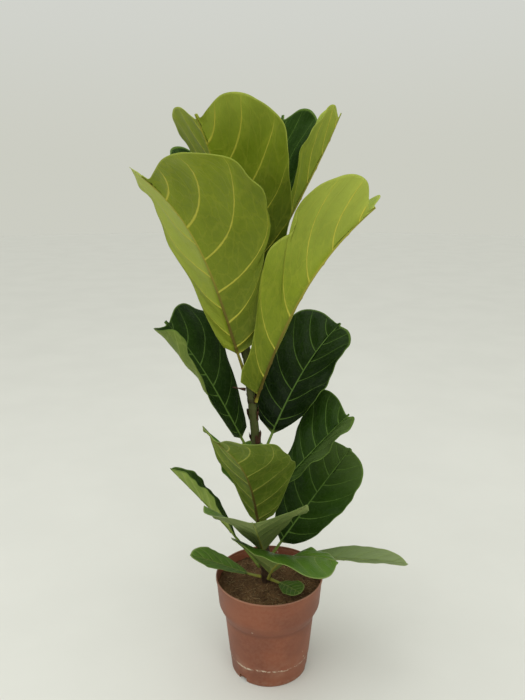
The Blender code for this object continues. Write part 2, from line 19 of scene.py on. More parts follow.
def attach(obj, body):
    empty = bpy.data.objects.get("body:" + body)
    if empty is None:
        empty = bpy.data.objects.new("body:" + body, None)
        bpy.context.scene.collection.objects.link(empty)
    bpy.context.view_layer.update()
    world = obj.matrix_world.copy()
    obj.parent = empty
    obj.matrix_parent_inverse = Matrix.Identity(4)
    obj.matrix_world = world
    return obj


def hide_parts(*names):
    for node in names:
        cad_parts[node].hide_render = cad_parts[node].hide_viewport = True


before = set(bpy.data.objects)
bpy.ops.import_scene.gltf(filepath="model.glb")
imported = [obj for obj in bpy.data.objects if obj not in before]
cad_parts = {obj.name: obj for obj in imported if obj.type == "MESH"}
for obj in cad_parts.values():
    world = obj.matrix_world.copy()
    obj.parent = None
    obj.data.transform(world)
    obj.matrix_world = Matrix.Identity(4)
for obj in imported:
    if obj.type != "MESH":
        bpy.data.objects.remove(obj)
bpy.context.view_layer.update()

ROOT = "root"

log = logging.getLogger("fig")

Colour = tuple[float, float, float, float]
Profile = list[tuple[float, float]]
Thing = bpy.types.Object
Material = bpy.types.Material
NodeTree = bpy.types.NodeTree
Node = bpy.types.Node
Socket = bpy.types.NodeSocket

FULL_TURN = 2.0 * math.pi


def tint(red: int, green: int, blue: int) -> Colour:
    """Turn a display colour into the linear one that shaders work in.

    Args:
        red: Red from 0 to 255.
        green: Green from 0 to 255.
        blue: Blue from 0 to 255.

    Returns:
        Linear red, green and blue, with an alpha of 1.
    """
    shares = (part / 255.0 for part in (red, green, blue))
    linear = [part / 12.92 if part <= 0.04045 else ((part + 0.055) / 1.055) ** 2.4 for part in shares]
    return (linear[0], linear[1], linear[2], 1.0)


class Slot(Enum):
    """Material slots that the object's record names."""

    POT = "pot"
    SOIL = "soil"
    STEM = "stem"
    BUD = "bud"
    SCALE = "dry_scale"
    YOUNG = "young_leaf"
    DARK = "dark_leaf"
    LOW = "low_leaf"


# ---------------------------------------------------------------------------------------------- node boards


class Board:
    """A node tree with short calls that add nodes and join them."""

    def __init__(self, tree: NodeTree) -> None:
        """Keep the tree that nodes are added to."""
        self.tree = tree

    def add(self, kind: str, settings: dict | None = None, **inputs: object) -> Node:
        """Add one node.

        Args:
            kind: The node's type name.
            settings: Properties of the node itself.
            inputs: Values or sockets for its inputs, by name with underscores for spaces.

        Returns:
            The new node.
        """
        node = self.tree.nodes.new(kind)
        for name, value in (settings or {}).items():
            setattr(node, name, value)
        for name, value in inputs.items():
            self.feed(node.inputs[name.replace("_", " ")], value)
        return node

    def feed(self, socket: Socket, value: object) -> None:
        """Join a socket to an input, or set a plain value on it."""
        if isinstance(value, Socket):
            self.tree.links.new(value, socket)
        else:
            socket.default_value = value

    def sum(self, operation: str, *values: object, clamp: bool = False) -> Socket:
        """Work out one value with a Math node.

        Args:
            operation: The Math node's operation.
            values: Its one to three inputs, as numbers or sockets.
            clamp: Whether the result is held between 0 and 1.

        Returns:
            The result's socket.
        """
        node = self.add("ShaderNodeMath", {"operation": operation, "use_clamp": clamp})
        for socket, value in zip(node.inputs, values):
            self.feed(socket, value)
        return node.outputs[0]

    def times(self, *values: object, clamp: bool = False) -> Socket:
        """Multiply two values."""
        return self.sum("MULTIPLY", *values, clamp=clamp)

    def plus(self, *values: object, clamp: bool = False) -> Socket:
        """Add two values."""
        return self.sum("ADD", *values, clamp=clamp)

    def line(self, value: object, slope: object, level: object) -> Socket:
        """Multiply a value by a slope and add a level."""
        return self.sum("MULTIPLY_ADD", value, slope, level)

    def away(self, value: object, level: float) -> Socket:
        """Measure how far a value is from a level, on either side."""
        return self.sum("ABSOLUTE", self.sum("SUBTRACT", value, level))

    def blend(self, share: object, first: object, second: object) -> Socket:
        """Mix two colours.

        Args:
            share: How much of the second colour shows, from 0 to 1.
            first: The first colour.
            second: The second colour.

        Returns:
            The mixed colour's socket.
        """
        node = self.add("ShaderNodeMix", {"data_type": "RGBA"})
        for socket, value in zip((node.inputs[0], node.inputs[6], node.inputs[7]), (share, first, second)):
            self.feed(socket, value)
        return node.outputs[2]

    def cover(self, colour: object, over: object, mask: object, strength: float) -> Socket:
        """Lay one colour over another where a mask shows.

        Args:
            colour: The colour below.
            over: The colour on top.
            mask: Where the top colour shows, from 0 to 1.
            strength: How much of it shows at most.

        Returns:
            The mixed colour's socket.
        """
        return self.blend(self.times(mask, strength), colour, over)

    def fade(self, value: object, low: float, high: float, start: float = 0.0,
             end: float = 1.0) -> Socket:
        """Carry a value smoothly from one range to another.

        Args:
            value: The value to carry over.
            low: Where the fade starts.
            high: Where the fade ends.
            start: The result at low and below.
            end: The result at high and above.

        Returns:
            The result's socket.
        """
        node = self.add("ShaderNodeMapRange", {"interpolation_type": "SMOOTHSTEP"}, Value=value)
        for name, number in (("From Min", low), ("From Max", high), ("To Min", start), ("To Max", end)):
            node.inputs[name].default_value = number
        return node.outputs[0]

    def own(self, name: str, output: str = "Fac") -> Socket:
        """Read an attribute that the mesh carries itself."""
        return self.add("ShaderNodeAttribute", {"attribute_name": name}).outputs[output]

    def place(self) -> Socket:
        """Read a point's place on the object."""
        return self.add("ShaderNodeTexCoord").outputs["Object"]

    def up(self, place: object) -> Socket:
        """Read the height of a place."""
        return self.add("ShaderNodeSeparateXYZ", Vector=place).outputs["Z"]

    def stretch(self, place: object, scale: tuple[float, float, float]) -> Socket:
        """Scale a place along each axis."""
        return self.add("ShaderNodeMapping", Vector=place, Scale=scale).outputs[0]

    def cells(self, vector: object, scale: float) -> Socket:
        """Measure the distance to the edges of a net of random cells."""
        node = self.add("ShaderNodeTexVoronoi", {"feature": "DISTANCE_TO_EDGE"}, Vector=vector, Scale=scale)
        return node.outputs["Distance"]

    def cloud(self, vector: object, scale: object, detail: float = 4.0,
              rough: float = 0.55) -> Socket:
        """Soft noise.

        Args:
            vector: Where to read it.
            scale: Its size, in waves a metre.
            detail: Its number of finer layers.
            rough: How strong the finer layers are.

        Returns:
            The noise's socket, round 0.5.
        """
        node = self.add("ShaderNodeTexNoise", Vector=vector, Scale=scale, Detail=detail, Roughness=rough)
        return node.outputs["Fac"]


class Effects:
    """Node groups that several finishes share."""

    @staticmethod
    def start(name: str, numbers: Sequence[str],
              outputs: Sequence[str]) -> tuple[Board, Node, Node]:
        """Begin a node group.

        Args:
            name: The group's name.
            numbers: Names of its number inputs.
            outputs: Names of its number outputs.

        Returns:
            The group's board, its input node and its output node.
        """
        tree = bpy.data.node_groups.new(name, "ShaderNodeTree")
        for way, labels in (("INPUT", numbers), ("OUTPUT", outputs)):
            for label in labels:
                tree.interface.new_socket(name=label, in_out=way, socket_type="NodeSocketFloat")
        board = Board(tree)
        return board, board.add("NodeGroupInput"), board.add("NodeGroupOutput")

    @classmethod
    def veins(cls) -> NodeTree:
        """Masks for a leaf's side veins, midrib, margin and the fine net between its veins."""
        outputs = ("Veins", "Rib", "Margin", "Net", "Relief")
        board, given, result = cls.start("leaf_veins", ("Vein Width", "Rib Width", "Margin Width"), outputs)
        reach, along = board.own("reach"), board.own("along")
        wobble = board.fade(board.cloud(board.place(), 70.0, 2.0), 0.3, 0.7, 0.75, 1.25)
        taper = board.line(reach, -0.62, 1.0)
        width = board.times(board.times(given.outputs["Vein Width"], taper), wobble)
        vein = board.fade(board.sum("DIVIDE", board.own("vein_distance"), width), 0.45, 1.25, 1.0, 0.0)
        vein = board.times(vein, board.fade(reach, 0.80, 1.0, 1.0, 0.35))
        rib_width = board.times(given.outputs["Rib Width"], board.line(along, -0.68, 1.0))
        rib = board.fade(board.sum("DIVIDE", board.own("rib_distance"), rib_width), 0.6, 1.15, 1.0, 0.0)
        edge = board.sum("DIVIDE", board.own("margin_distance"), given.outputs["Margin Width"])
        margin = board.fade(edge, 0.4, 1.3, 1.0, 0.0)
        flat = board.own("net", "Vector")
        shift = board.add("ShaderNodeTexNoise", Vector=flat, Scale=3.0, Detail=2.0).outputs["Color"]
        bent = board.add("ShaderNodeVectorMath", {"operation": "MULTIPLY_ADD"})
        for socket, value in zip(bent.inputs, (shift, (0.45, 0.45, 0.0), flat)):
            board.feed(socket, value)
        coarse = board.fade(board.cells(bent.outputs[0], 1.0), 0.015, 0.085, 1.0, 0.0)
        fine = board.fade(board.cells(bent.outputs[0], 3.1), 0.0, 0.12, 1.0, 0.0)
        net = board.sum("MAXIMUM", board.times(coarse, 0.8), board.times(fine, 0.32))
        relief = board.plus(net, board.times(vein, 1.6))
        for name, value in zip(outputs, (vein, rib, margin, net, relief)):
            board.feed(result.inputs[name], value)
        return board.tree

    @classmethod
    def mottle(cls) -> NodeTree:
        """Soft patches of colour at two sizes."""
        board, given, result = cls.start("soft_mottle", ("Scale",), ("Patches", "Grain"))
        place, scale = board.place(), given.outputs["Scale"]
        patches = board.cloud(place, scale, 3.0, 0.5)
        grain = board.cloud(place, board.times(scale, 14.0), 3.0, 0.5)
        board.feed(result.inputs["Patches"], board.fade(patches, 0.32, 0.68))
        board.feed(result.inputs["Grain"], board.fade(grain, 0.3, 0.7))
        return board.tree

    @classmethod
    def marks(cls) -> NodeTree:
        """A few small scattered marks, as old leaves and handled plastic have."""
        board, given, result = cls.start("small_marks", ("Scale", "Amount"), ("Marks",))
        spots = board.add("ShaderNodeTexVoronoi", {"feature": "F1"}, Vector=board.place(),
                          Scale=given.outputs["Scale"])
        chance = board.add("ShaderNodeSeparateColor", Color=spots.outputs["Color"]).outputs[0]
        few = board.sum("LESS_THAN", chance, given.outputs["Amount"])
        dot = board.fade(spots.outputs["Distance"], 0.05, 0.16, 1.0, 0.0)
        board.feed(result.inputs["Marks"], board.times(dot, few))
        return board.tree


class Finish:
    """What every finish does: start a material with one Principled shader."""

    @staticmethod
    def open(name: str, **plain: object) -> tuple[Board, Node, Material]:
        """Begin a material.

        Args:
            name: The material's name.
            plain: Numbers that are the same all over, set on the shader's own sockets.

        Returns:
            The material's board, its shader and the material.
        """
        material = bpy.data.materials.new(name)
        material.use_nodes = True
        board = Board(material.node_tree)
        shader = material.node_tree.nodes["Principled BSDF"]
        for label, value in plain.items():
            shader.inputs[label.replace("_", " ")].default_value = value
        return board, shader, material

    @staticmethod
    def group(board: Board, name: str, **inputs: float) -> Node:
        """Place a shared effect in a material."""
        return board.add("ShaderNodeGroup", {"node_tree": bpy.data.node_groups[name]}, **inputs)

    @staticmethod
    def bump(board: Board, shader: Node, height: object, depth: float,
             strength: float = 1.0) -> None:
        """Join a height to the shader through one Bump node."""
        node = board.add("ShaderNodeBump", Height=height, Distance=depth, Strength=strength)
        board.feed(shader.inputs["Normal"], node.outputs["Normal"])


@dataclass(frozen=True)
class LeafFinish:
    """Skin of one age of leaf: its two sides, its veins, its gloss, and its painted shade and painted light.
    """

    name: str
    slot: Slot
    upper: Colour
    upper_light: Colour
    under: Colour
    under_light: Colour
    vein_upper: Colour
    vein_under: Colour
    rib_base: Colour
    rib_tip: Colour
    margin: Colour
    # Painted light: deep is painted shade, where other leaves keep the light off the blade, together with
    # the real darker green near the base of young leaves; pale is a painted sheen and the painted glow of
    # light shining through the blade.
    deep: Colour
    pale: Colour
    vein_width: float = 0.0011
    vein_strength: float = 0.85
    rib_width: float = 0.0022
    net_upper: float = 0.10
    net_under: float = 0.22
    rough_upper: float = 0.36
    rough_under: float = 0.60
    margin_width: float = 0.0013
    marks: float = 0.02
    spot: Colour = tint(74, 56, 28)
    gloss: float = 0.25
    relief: float = 0.0004

    def build(self) -> Material:
        """Make the material."""
        board, shader, material = Finish.open(self.name, Specular_IOR_Level=self.gloss, IOR=1.45)
        veins = Finish.group(board, "leaf_veins", Vein_Width=self.vein_width, Rib_Width=self.rib_width,
                             Margin_Width=self.margin_width).outputs
        mottle = Finish.group(board, "soft_mottle", Scale=9.0).outputs
        marks = Finish.group(board, "small_marks", Scale=90.0, Amount=self.marks).outputs
        under, tone = board.own("under"), board.own("tone")
        patches = board.plus(board.times(mottle["Patches"], 0.75), board.times(mottle["Grain"], 0.25))
        near_rib = board.fade(board.own("rib_distance"), 0.0, 0.035, 0.25, 0.0)
        # Painted light: the blade is lighter near its side veins than between them, in place of the shading
        # of the puckered surface.
        painted_light_near_veins = board.fade(board.own("vein_distance"), 0.0, 0.011, 0.35, 0.0)
        # Random mottle, the lighter midrib and the painted light near the veins, which mix each side's two
        # colours.
        shade = board.plus(board.plus(patches, near_rib), painted_light_near_veins, clamp=True)
        # Painted light: where the leaf's attribute is above 0 the painted shade colour is mixed in, and
        # where it is below 0 the painted sheen and glow.
        deep, pale = board.times(tone, 0.85, clamp=True), board.times(tone, -1.0, clamp=True)

        def face(first: Colour, second: Colour, vein: Colour, net: float, rib: object) -> Socket:
            """Colour of one side of the blade."""
            colour = board.blend(shade, first, second)
            colour = board.blend(pale, board.blend(deep, colour, self.deep), self.pale)
            colour = board.cover(colour, vein, veins["Net"], net)
            colour = board.cover(colour, vein, veins["Veins"], self.vein_strength)
            return board.cover(colour, rib, veins["Rib"], 0.92)

        rib_under = board.blend(board.fade(board.own("along"), 0.12, 0.72), self.rib_base, self.rib_tip)
        colour = board.blend(
            under, face(self.upper, self.upper_light, self.vein_upper, self.net_upper, self.vein_upper),
            face(self.under, self.under_light, self.vein_under, self.net_under, rib_under))
        colour = board.cover(colour, self.margin, veins["Margin"], 0.75)
        skin = board.blend(mottle["Grain"], self.rib_base, self.rib_tip)
        colour = board.blend(board.own("stalk"), colour, skin)
        board.feed(shader.inputs["Base Color"], board.cover(colour, self.spot, marks["Marks"], 0.7))
        rough = board.line(under, self.rough_under - self.rough_upper, self.rough_upper)
        rough = board.plus(rough, board.line(mottle["Grain"], 0.12, -0.06), clamp=True)
        board.feed(shader.inputs["Roughness"], rough)
        height = board.times(veins["Relief"], board.line(under, 2.0, -1.0))
        height = board.plus(height, board.times(mottle["Grain"], 0.35))
        Finish.bump(board, shader, height, self.relief, 0.8)
        return material


@dataclass(frozen=True)
class PlasticFinish:
    """Matt terracotta plastic with dust, scuffs, a broken line of limescale and a band of painted shade
    under the shoulder.
    """

    name: str = "terracotta_plastic"
    colour: Colour = tint(137, 78, 52)
    deep: Colour = tint(119, 66, 45)
    dust: Colour = tint(176, 142, 118)
    lime: Colour = tint(214, 200, 176)
    # Colour of the painted shade band under the shoulder.
    shoulder_shade: Colour = tint(104, 58, 42)
    foot: Colour = tint(150, 122, 100)
    line: float = 0.0300
    shoulder: float = 0.0975
    rim: tuple[float, float] = (0.1600, 0.1628)
    relief: float = 0.0002

    def build(self) -> Material:
        """Make the material."""
        board, shader, material = Finish.open(self.name, Specular_IOR_Level=0.35)
        mottle = Finish.group(board, "soft_mottle", Scale=14.0).outputs
        marks = Finish.group(board, "small_marks", Scale=75.0, Amount=0.10).outputs
        place = board.place()
        height = board.up(place)
        swirl = board.line(board.cloud(place, 30.0, 3.0), 0.010, -0.005)
        from_line = board.away(board.plus(height, swirl), self.line)
        broken = board.fade(board.cloud(place, 95.0, 5.0, 0.7), 0.47, 0.60)
        lime = board.times(board.fade(from_line, 0.0006, 0.0030, 1.0, 0.0), broken)
        haze = board.times(board.fade(from_line, 0.002, 0.020, 1.0, 0.0),
                           board.fade(board.cloud(place, 40.0, 4.0), 0.45, 0.75))
        # Painted shade: a faint darker band round the pot where the body meets the collar's flare.
        shoulder_shade = board.fade(board.away(height, self.shoulder), 0.0006, 0.006, 0.35, 0.0)
        scuff = board.fade(board.cloud(board.stretch(place, (1.0, 1.0, 7.0)), 60.0, 6.0, 0.75), 0.60, 0.72)
        foot = board.times(board.fade(height, 0.0, 0.012, 1.0, 0.0), mottle["Grain"])
        colour = board.blend(mottle["Patches"], self.deep, self.colour)
        for over, mask, strength in (
                (self.dust, mottle["Grain"], 0.10), (self.shoulder_shade, shoulder_shade, 1.0), (self.dust, scuff, 0.28),
                (self.dust, haze, 0.30), (self.dust, board.fade(height, *self.rim), 0.35),
                (self.foot, foot, 0.5), (self.lime, marks["Marks"], 0.55), (self.lime, lime, 0.85)):
            colour = board.cover(colour, over, mask, strength)
        board.feed(shader.inputs["Base Color"], colour)
        rough = board.plus(board.line(mottle["Grain"], 0.12, 0.46), board.times(lime, 0.35), clamp=True)
        board.feed(shader.inputs["Roughness"], rough)
        fine = board.cloud(place, 900.0, 2.0)
        Finish.bump(board, shader, board.plus(board.times(fine, 0.3), lime), self.relief, 0.7)
        return material


@dataclass(frozen=True)
class EarthFinish:
    """Peaty potting soil, its clods or the pale fibres in it."""

    name: str
    dark: Colour
    light: Colour
    speck: Colour
    specks: float = 0.10
    relief: float = 0.0009

    def build(self) -> Material:
        """Make the material."""
        board, shader, material = Finish.open(self.name, Specular_IOR_Level=0.15)
        place = board.place()
        mottle = Finish.group(board, "soft_mottle", Scale=45.0).outputs
        grains = Finish.group(board, "small_marks", Scale=420.0, Amount=self.specks).outputs
        coarse = board.fade(board.cloud(place, 260.0, 6.0, 0.7), 0.35, 0.68)
        share = board.line(mottle["Patches"], 0.4, board.times(coarse, 0.6))
        colour = board.blend(share, self.dark, self.light)
        board.feed(shader.inputs["Base Color"], board.blend(grains["Marks"], colour, self.speck))
        board.feed(shader.inputs["Roughness"], board.line(coarse, -0.10, 0.96))
        Finish.bump(board, shader, board.plus(coarse, board.times(mottle["Grain"], 0.5)), self.relief)
        return material


@dataclass(frozen=True)
class BarkFinish:
    """Stem skin: brown bark low down that turns green above, with pale pores and dark leaf scars."""

    name: str
    bark: Colour
    green: Colour
    scar: Colour
    turn_low: float = 0.24
    turn_high: float = 0.42
    pore: Colour = tint(170, 150, 110)
    rough: float = 0.6
    relief: float = 0.0004

    def build(self) -> Material:
        """Make the material."""
        board, shader, material = Finish.open(self.name, Specular_IOR_Level=0.3)
        place = board.place()
        mottle = Finish.group(board, "soft_mottle", Scale=40.0).outputs
        pores = Finish.group(board, "small_marks", Scale=260.0, Amount=0.22).outputs
        streaks = board.fade(board.cloud(board.stretch(place, (6.0, 6.0, 1.0)), 90.0, 5.0, 0.65), 0.35, 0.65)
        reached = board.plus(board.up(place), board.times(mottle["Patches"], 0.05))
        greening = board.fade(reached, self.turn_low, self.turn_high)
        bark = board.blend(streaks, self.bark, self.scar)
        colour = board.blend(greening, bark, board.cover(self.green, self.bark, streaks, 0.45))
        colour = board.cover(colour, self.scar, board.own("scar"), 0.85)
        board.feed(shader.inputs["Base Color"], board.cover(colour, self.pore, pores["Marks"], 0.5))
        board.feed(shader.inputs["Roughness"], board.line(mottle["Grain"], 0.2, self.rough - 0.1))
        Finish.bump(board, shader, board.plus(streaks, board.times(pores["Marks"], 0.8)), self.relief)
        return material


@dataclass(frozen=True)
class FloorFinish:
    """Plain pale floor with very faint soft patches."""

    name: str = "pale_floor"
    first: Colour = tint(213, 213, 206)
    second: Colour = tint(210, 210, 203)

    def build(self) -> Material:
        """Make the material."""
        board, shader, material = Finish.open(self.name, Specular_IOR_Level=0.2, Roughness=0.75)
        patches = board.fade(board.cloud(board.place(), 4.0, 5.0), 0.3, 0.7)
        board.feed(shader.inputs["Base Color"], board.blend(patches, self.first, self.second))
        return material


# In each finish, deep is painted shade, partly also the real darker green near leaf bases, and pale is a
# painted sheen and glow of light shining through.
YOUNG = LeafFinish(
    "young_leaf_skin", Slot.YOUNG, upper=tint(104, 132, 30), upper_light=tint(136, 158, 46),
    under=tint(102, 119, 18), under_light=tint(130, 145, 32), vein_upper=tint(176, 184, 84),
    vein_under=tint(186, 182, 66), rib_base=tint(96, 82, 30), rib_tip=tint(160, 154, 56),
    margin=tint(160, 172, 70), deep=tint(50, 68, 12), pale=tint(176, 188, 84), vein_width=0.0016,
    rib_width=0.0026, vein_strength=0.9, net_under=0.12, rough_upper=0.42, rough_under=0.58, marks=0.0)
DARK = LeafFinish(
    "dark_leaf_skin", Slot.DARK, upper=tint(22, 44, 7), upper_light=tint(40, 64, 16),
    under=tint(112, 134, 56), under_light=tint(140, 160, 74), vein_upper=tint(88, 116, 50),
    vein_under=tint(170, 182, 100), rib_base=tint(120, 136, 58), rib_tip=tint(110, 132, 60),
    margin=tint(92, 118, 48), deep=tint(10, 24, 3), pale=tint(92, 112, 60), vein_width=0.0010,
    vein_strength=0.75, rib_width=0.0018, net_upper=0.06, rough_upper=0.25, marks=0.012, gloss=0.09)
LOW = LeafFinish(
    "low_leaf_skin", Slot.LOW, upper=tint(58, 92, 22), upper_light=tint(80, 114, 32),
    under=tint(90, 110, 50), under_light=tint(112, 128, 66), vein_upper=tint(124, 142, 70),
    vein_under=tint(150, 160, 92), rib_base=tint(142, 140, 56), rib_tip=tint(138, 146, 70),
    margin=tint(128, 146, 78), deep=tint(44, 70, 20), pale=tint(132, 144, 100), vein_width=0.0008,
    vein_strength=0.65, rib_width=0.0016, rough_upper=0.42, marks=0.03)
CENTRE = LeafFinish(
    "centre_leaf_skin", Slot.LOW, upper=tint(46, 84, 18), upper_light=tint(70, 106, 28),
    under=tint(80, 102, 22), under_light=tint(104, 124, 38), vein_upper=tint(134, 150, 70),
    vein_under=tint(172, 176, 78), rib_base=tint(92, 74, 32), rib_tip=tint(132, 124, 50),
    margin=tint(144, 158, 80), deep=tint(40, 60, 14), pale=tint(140, 150, 90), vein_width=0.0013,
    rib_width=0.0022, rough_upper=0.42, marks=0.02)


# ---------------------------------------------------------------------------------------------- bench work


class Bench:
    """Modelling steps that every part uses."""

    @staticmethod
    def only(thing: Thing) -> None:
        """Leave one object selected and active."""
        bpy.ops.object.select_all(action="DESELECT")
        thing.select_set(True)
        bpy.context.view_layer.objects.active = thing

    @classmethod
    def named(cls, name: str) -> Thing:
        """Name the object that was just added."""
        thing = bpy.context.object
        thing.name = name
        thing.data.name = name
        cls.only(thing)
        return thing

    @classmethod
    def apply(cls, thing: Thing) -> None:
        """Put the object's own place into its mesh."""
        cls.only(thing)
        bpy.ops.object.transform_apply(location=True, rotation=True, scale=True)

    @classmethod
    def modify(cls, thing: Thing, kind: str, **settings: object) -> None:
        """Add a modifier and apply it.

        Args:
            thing: The object to change.
            kind: The modifier's type.
            settings: The modifier's properties.
        """
        cls.only(thing)
        step = thing.modifiers.new(kind.lower(), kind)
        for name, value in settings.items():
            setattr(step, name, value)
        bpy.ops.object.modifier_apply(modifier=step.name)

    @classmethod
    def wrap(cls, name: str, rings: np.ndarray, marks: dict[str, np.ndarray]) -> Thing:
        """Roll a grid into a skin whose first and last ring are closed with a face.

        Args:
            name: The new object's name.
            rings: Places of the skin's points, as rings by points by 3.
            marks: Number attributes for the same points, as rings by points, or by 3 for a vector.

        Returns:
            The new object.
        """
        count, around = rings.shape[:2]
        bpy.ops.object.select_all(action="DESELECT")
        bpy.ops.mesh.primitive_grid_add(x_subdivisions=around, y_subdivisions=count - 1, size=1.0)
        thing = cls.named(name)
        mesh = thing.data
        closed = np.concatenate([rings, rings[:, :1]], axis=1)
        mesh.vertices.foreach_set("co", closed.astype(np.float32).ravel())
        for label, values in marks.items():
            kind = "FLOAT_VECTOR" if values.ndim == 3 else "FLOAT"
            layer = mesh.attributes.new(label, kind, "POINT")
            field_name = "vector" if values.ndim == 3 else "value"
            full = np.concatenate([values, values[:, :1]], axis=1)
            layer.data.foreach_set(field_name, full.astype(np.float32).ravel())
        while mesh.uv_layers:
            mesh.uv_layers.remove(mesh.uv_layers[0])
        bpy.ops.object.mode_set(mode="EDIT")
        bpy.ops.mesh.select_all(action="SELECT")
        bpy.ops.mesh.remove_doubles(threshold=1e-7)
        bpy.ops.mesh.select_all(action="DESELECT")
        bpy.ops.mesh.select_non_manifold(extend=False)
        bpy.ops.mesh.fill_holes(sides=0)
        bpy.ops.mesh.select_all(action="SELECT")
        bpy.ops.mesh.normals_make_consistent(inside=False)
        bpy.ops.object.mode_set(mode="OBJECT")
        bpy.ops.object.shade_smooth()
        return thing

    @classmethod
    def join(cls, name: str, things: Sequence[Thing]) -> Thing:
        """Join several objects into one piece."""
        bpy.ops.object.select_all(action="DESELECT")
        for thing in things:
            thing.select_set(True)
        bpy.context.view_layer.objects.active = things[0]
        bpy.ops.object.join()
        return cls.named(name)

    @staticmethod
    def hand_in(thing: Thing, material: Material, slot: Slot, *nodes: str) -> None:
        """Dress a finished piece and tie it to the frame.

        Args:
            thing: The piece.
            material: Its only material.
            slot: The record's slot that it is painted from. Not used.
            nodes: CAD nodes that it stands for.
        """
        thing.data.materials.clear()
        thing.data.materials.append(material)
        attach(thing, ROOT)
        if nodes:
            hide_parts(*nodes)
        log.info("%s: %d faces", thing.name, len(thing.data.polygons))


def read(table: Sequence[tuple[float, float]], value: float) -> float:
    """Read a value from a table of (place, value) rows."""
    return float(np.interp(value, [row[0] for row in table], [row[1] for row in table]))


def bell(value: float, centre: float, width: float) -> float:
    """A smooth hump of height 1 over its centre."""
    return math.exp(-(((value - centre) / width) ** 2))


# ---------------------------------------------------------------------------------------------- pot


@dataclass
class Pot:
    """The nursery pot: a thin turned shell with a tall collar, a foot band, notches and drain holes."""

    height: float = 0.163
    rim: float = 0.0855
    collar: float = 0.0812
    body: float = 0.0718
    ridge: float = 0.0652
    base: float = 0.0615
    shoulder_top: float = 0.120
    shoulder_bottom: float = 0.098
    ridge_height: float = 0.030
    wall: float = 0.0016
    floor: float = 0.0030
    steps: int = 160
    notch: tuple[float, float, float] = (0.010, 0.0155, 0.0170)
    notch_angles: tuple[float, ...] = (227.0, 347.0, 107.0)
    drain_ring: float = 0.036
    drain_radius: float = 0.005
    drains: int = 6
    drain_turn: float = 0.47
    drain_sides: int = 28
    notch_round: float = 0.0035
    notch_steps: int = 5

    def outside(self) -> Profile:
        """Outer wall from the foot to the rim, as (radius, height), laid off from its five corners."""
        foot, band, rim = (self.base, 0.0), (self.ridge, self.ridge_height), (self.rim, self.height)
        low, high = (self.body, self.shoulder_bottom), (self.collar, self.shoulder_top)
        rows = (
            (foot, -0.0008, 0.0), (foot, 0.0, 0.0008), (band, -0.0008, -0.00176), (band, -0.00016, -0.00064),
            (band, 0.0, 0.0), (low, -0.0006, -0.0060), (low, 0.0, 0.0), (low, 0.0012, 0.0022),
            (low, 0.0036, 0.0075), (high, -0.0030, -0.0090), (high, -0.0007, -0.0035), (high, 0.0, 0.0),
            (rim, -0.0011, -0.0058), (rim, -0.0009, -0.0050), (rim, -0.0002, -0.0044), (rim, 0.0, -0.0036),
            (rim, 0.0, -0.0009), (rim, -0.0003, -0.0002), (rim, -0.0008, 0.0))
        return [(radius + out, height + up) for (radius, height), out, up in rows]

    def inside_radius(self, height: float) -> float:
        """Radius of the inner wall at a height."""
        return read([(row[1], row[0]) for row in self.outside()], height) - self.wall

    def build(self) -> Thing:
        """Turn the shell, then cut its notches and drain holes.

        Returns:
            The pot's object.
        """
        outside = self.outside()
        lowest = self.floor + 0.001
        inside = [(radius - self.wall, height) for radius, height in outside[::-1] if height > lowest]
        inside[0] = (self.rim - self.wall, self.height - 0.0001)
        inside.append((self.inside_radius(self.floor), self.floor))
        profile = [(0.0, 0.0)] + outside + inside + [(0.0, self.floor)]
        bpy.ops.object.select_all(action="DESELECT")
        bpy.ops.mesh.primitive_circle_add(vertices=len(profile), radius=0.1, fill_type="NOTHING")
        pot = Bench.named("nursery_pot")
        for vertex, (radius, height) in zip(pot.data.vertices, profile):
            vertex.co = (radius, 0.0, height)
        bpy.ops.object.mode_set(mode="EDIT")
        bpy.ops.mesh.select_all(action="SELECT")
        bpy.ops.mesh.spin(steps=self.steps, angle=FULL_TURN, center=(0, 0, 0), axis=(0, 0, 1))
        bpy.ops.mesh.select_all(action="SELECT")
        bpy.ops.mesh.remove_doubles(threshold=2e-6)
        bpy.ops.mesh.select_all(action="SELECT")
        bpy.ops.mesh.delete_loose()
        bpy.ops.mesh.select_all(action="SELECT")
        bpy.ops.mesh.normals_make_consistent(inside=False)
        bpy.ops.object.mode_set(mode="OBJECT")
        self.clean_axis(pot)
        for number in range(self.drains):
            angle = FULL_TURN * (number + self.drain_turn) / self.drains
            bpy.ops.mesh.primitive_cylinder_add(
                vertices=self.drain_sides, radius=self.drain_radius, depth=0.02,
                location=(self.drain_ring * math.cos(angle), self.drain_ring * math.sin(angle), 0.0))
            self.cut(pot, Bench.named("drain_tool"))
        for degrees in self.notch_angles:
            angle = math.radians(degrees)
            bpy.ops.mesh.primitive_cube_add(
                size=1.0, rotation=(0.0, 0.0, angle), scale=self.notch,
                location=(self.base * math.cos(angle), self.base * math.sin(angle), 0.0))
            tool = Bench.named("notch_tool")
            Bench.modify(tool, "BEVEL", width=self.notch_round, segments=self.notch_steps)
            self.cut(pot, tool)
        Bench.only(pot)
        bpy.ops.object.shade_smooth_by_angle(angle=math.radians(35.0))
        return pot

    @staticmethod
    def clean_axis(pot: Thing) -> None:
        """Remove the edge that the turning leaves along its axis."""
        Bench.only(pot)
        bpy.ops.object.mode_set(mode="EDIT")
        bpy.ops.mesh.select_all(action="DESELECT")
        bpy.ops.object.mode_set(mode="OBJECT")
        used = {key for face in pot.data.polygons for key in face.edge_keys}
        for edge in pot.data.edges:
            edge.select = tuple(sorted(edge.vertices)) not in used
        bpy.ops.object.mode_set(mode="EDIT")
        bpy.ops.mesh.select_mode(type="EDGE")
        bpy.ops.mesh.delete(type="EDGE")
        bpy.ops.mesh.select_mode(type="VERT")
        bpy.ops.object.mode_set(mode="OBJECT")

    @staticmethod
    def cut(target: Thing, tool: Thing) -> None:
        """Cut a tool's shape from a piece and throw the tool away."""
        Bench.modify(target, "BOOLEAN", operation="DIFFERENCE", solver="EXACT", object=tool)
        bpy.data.objects.remove(tool, do_unlink=True)


# ---------------------------------------------------------------------------------------------- stem


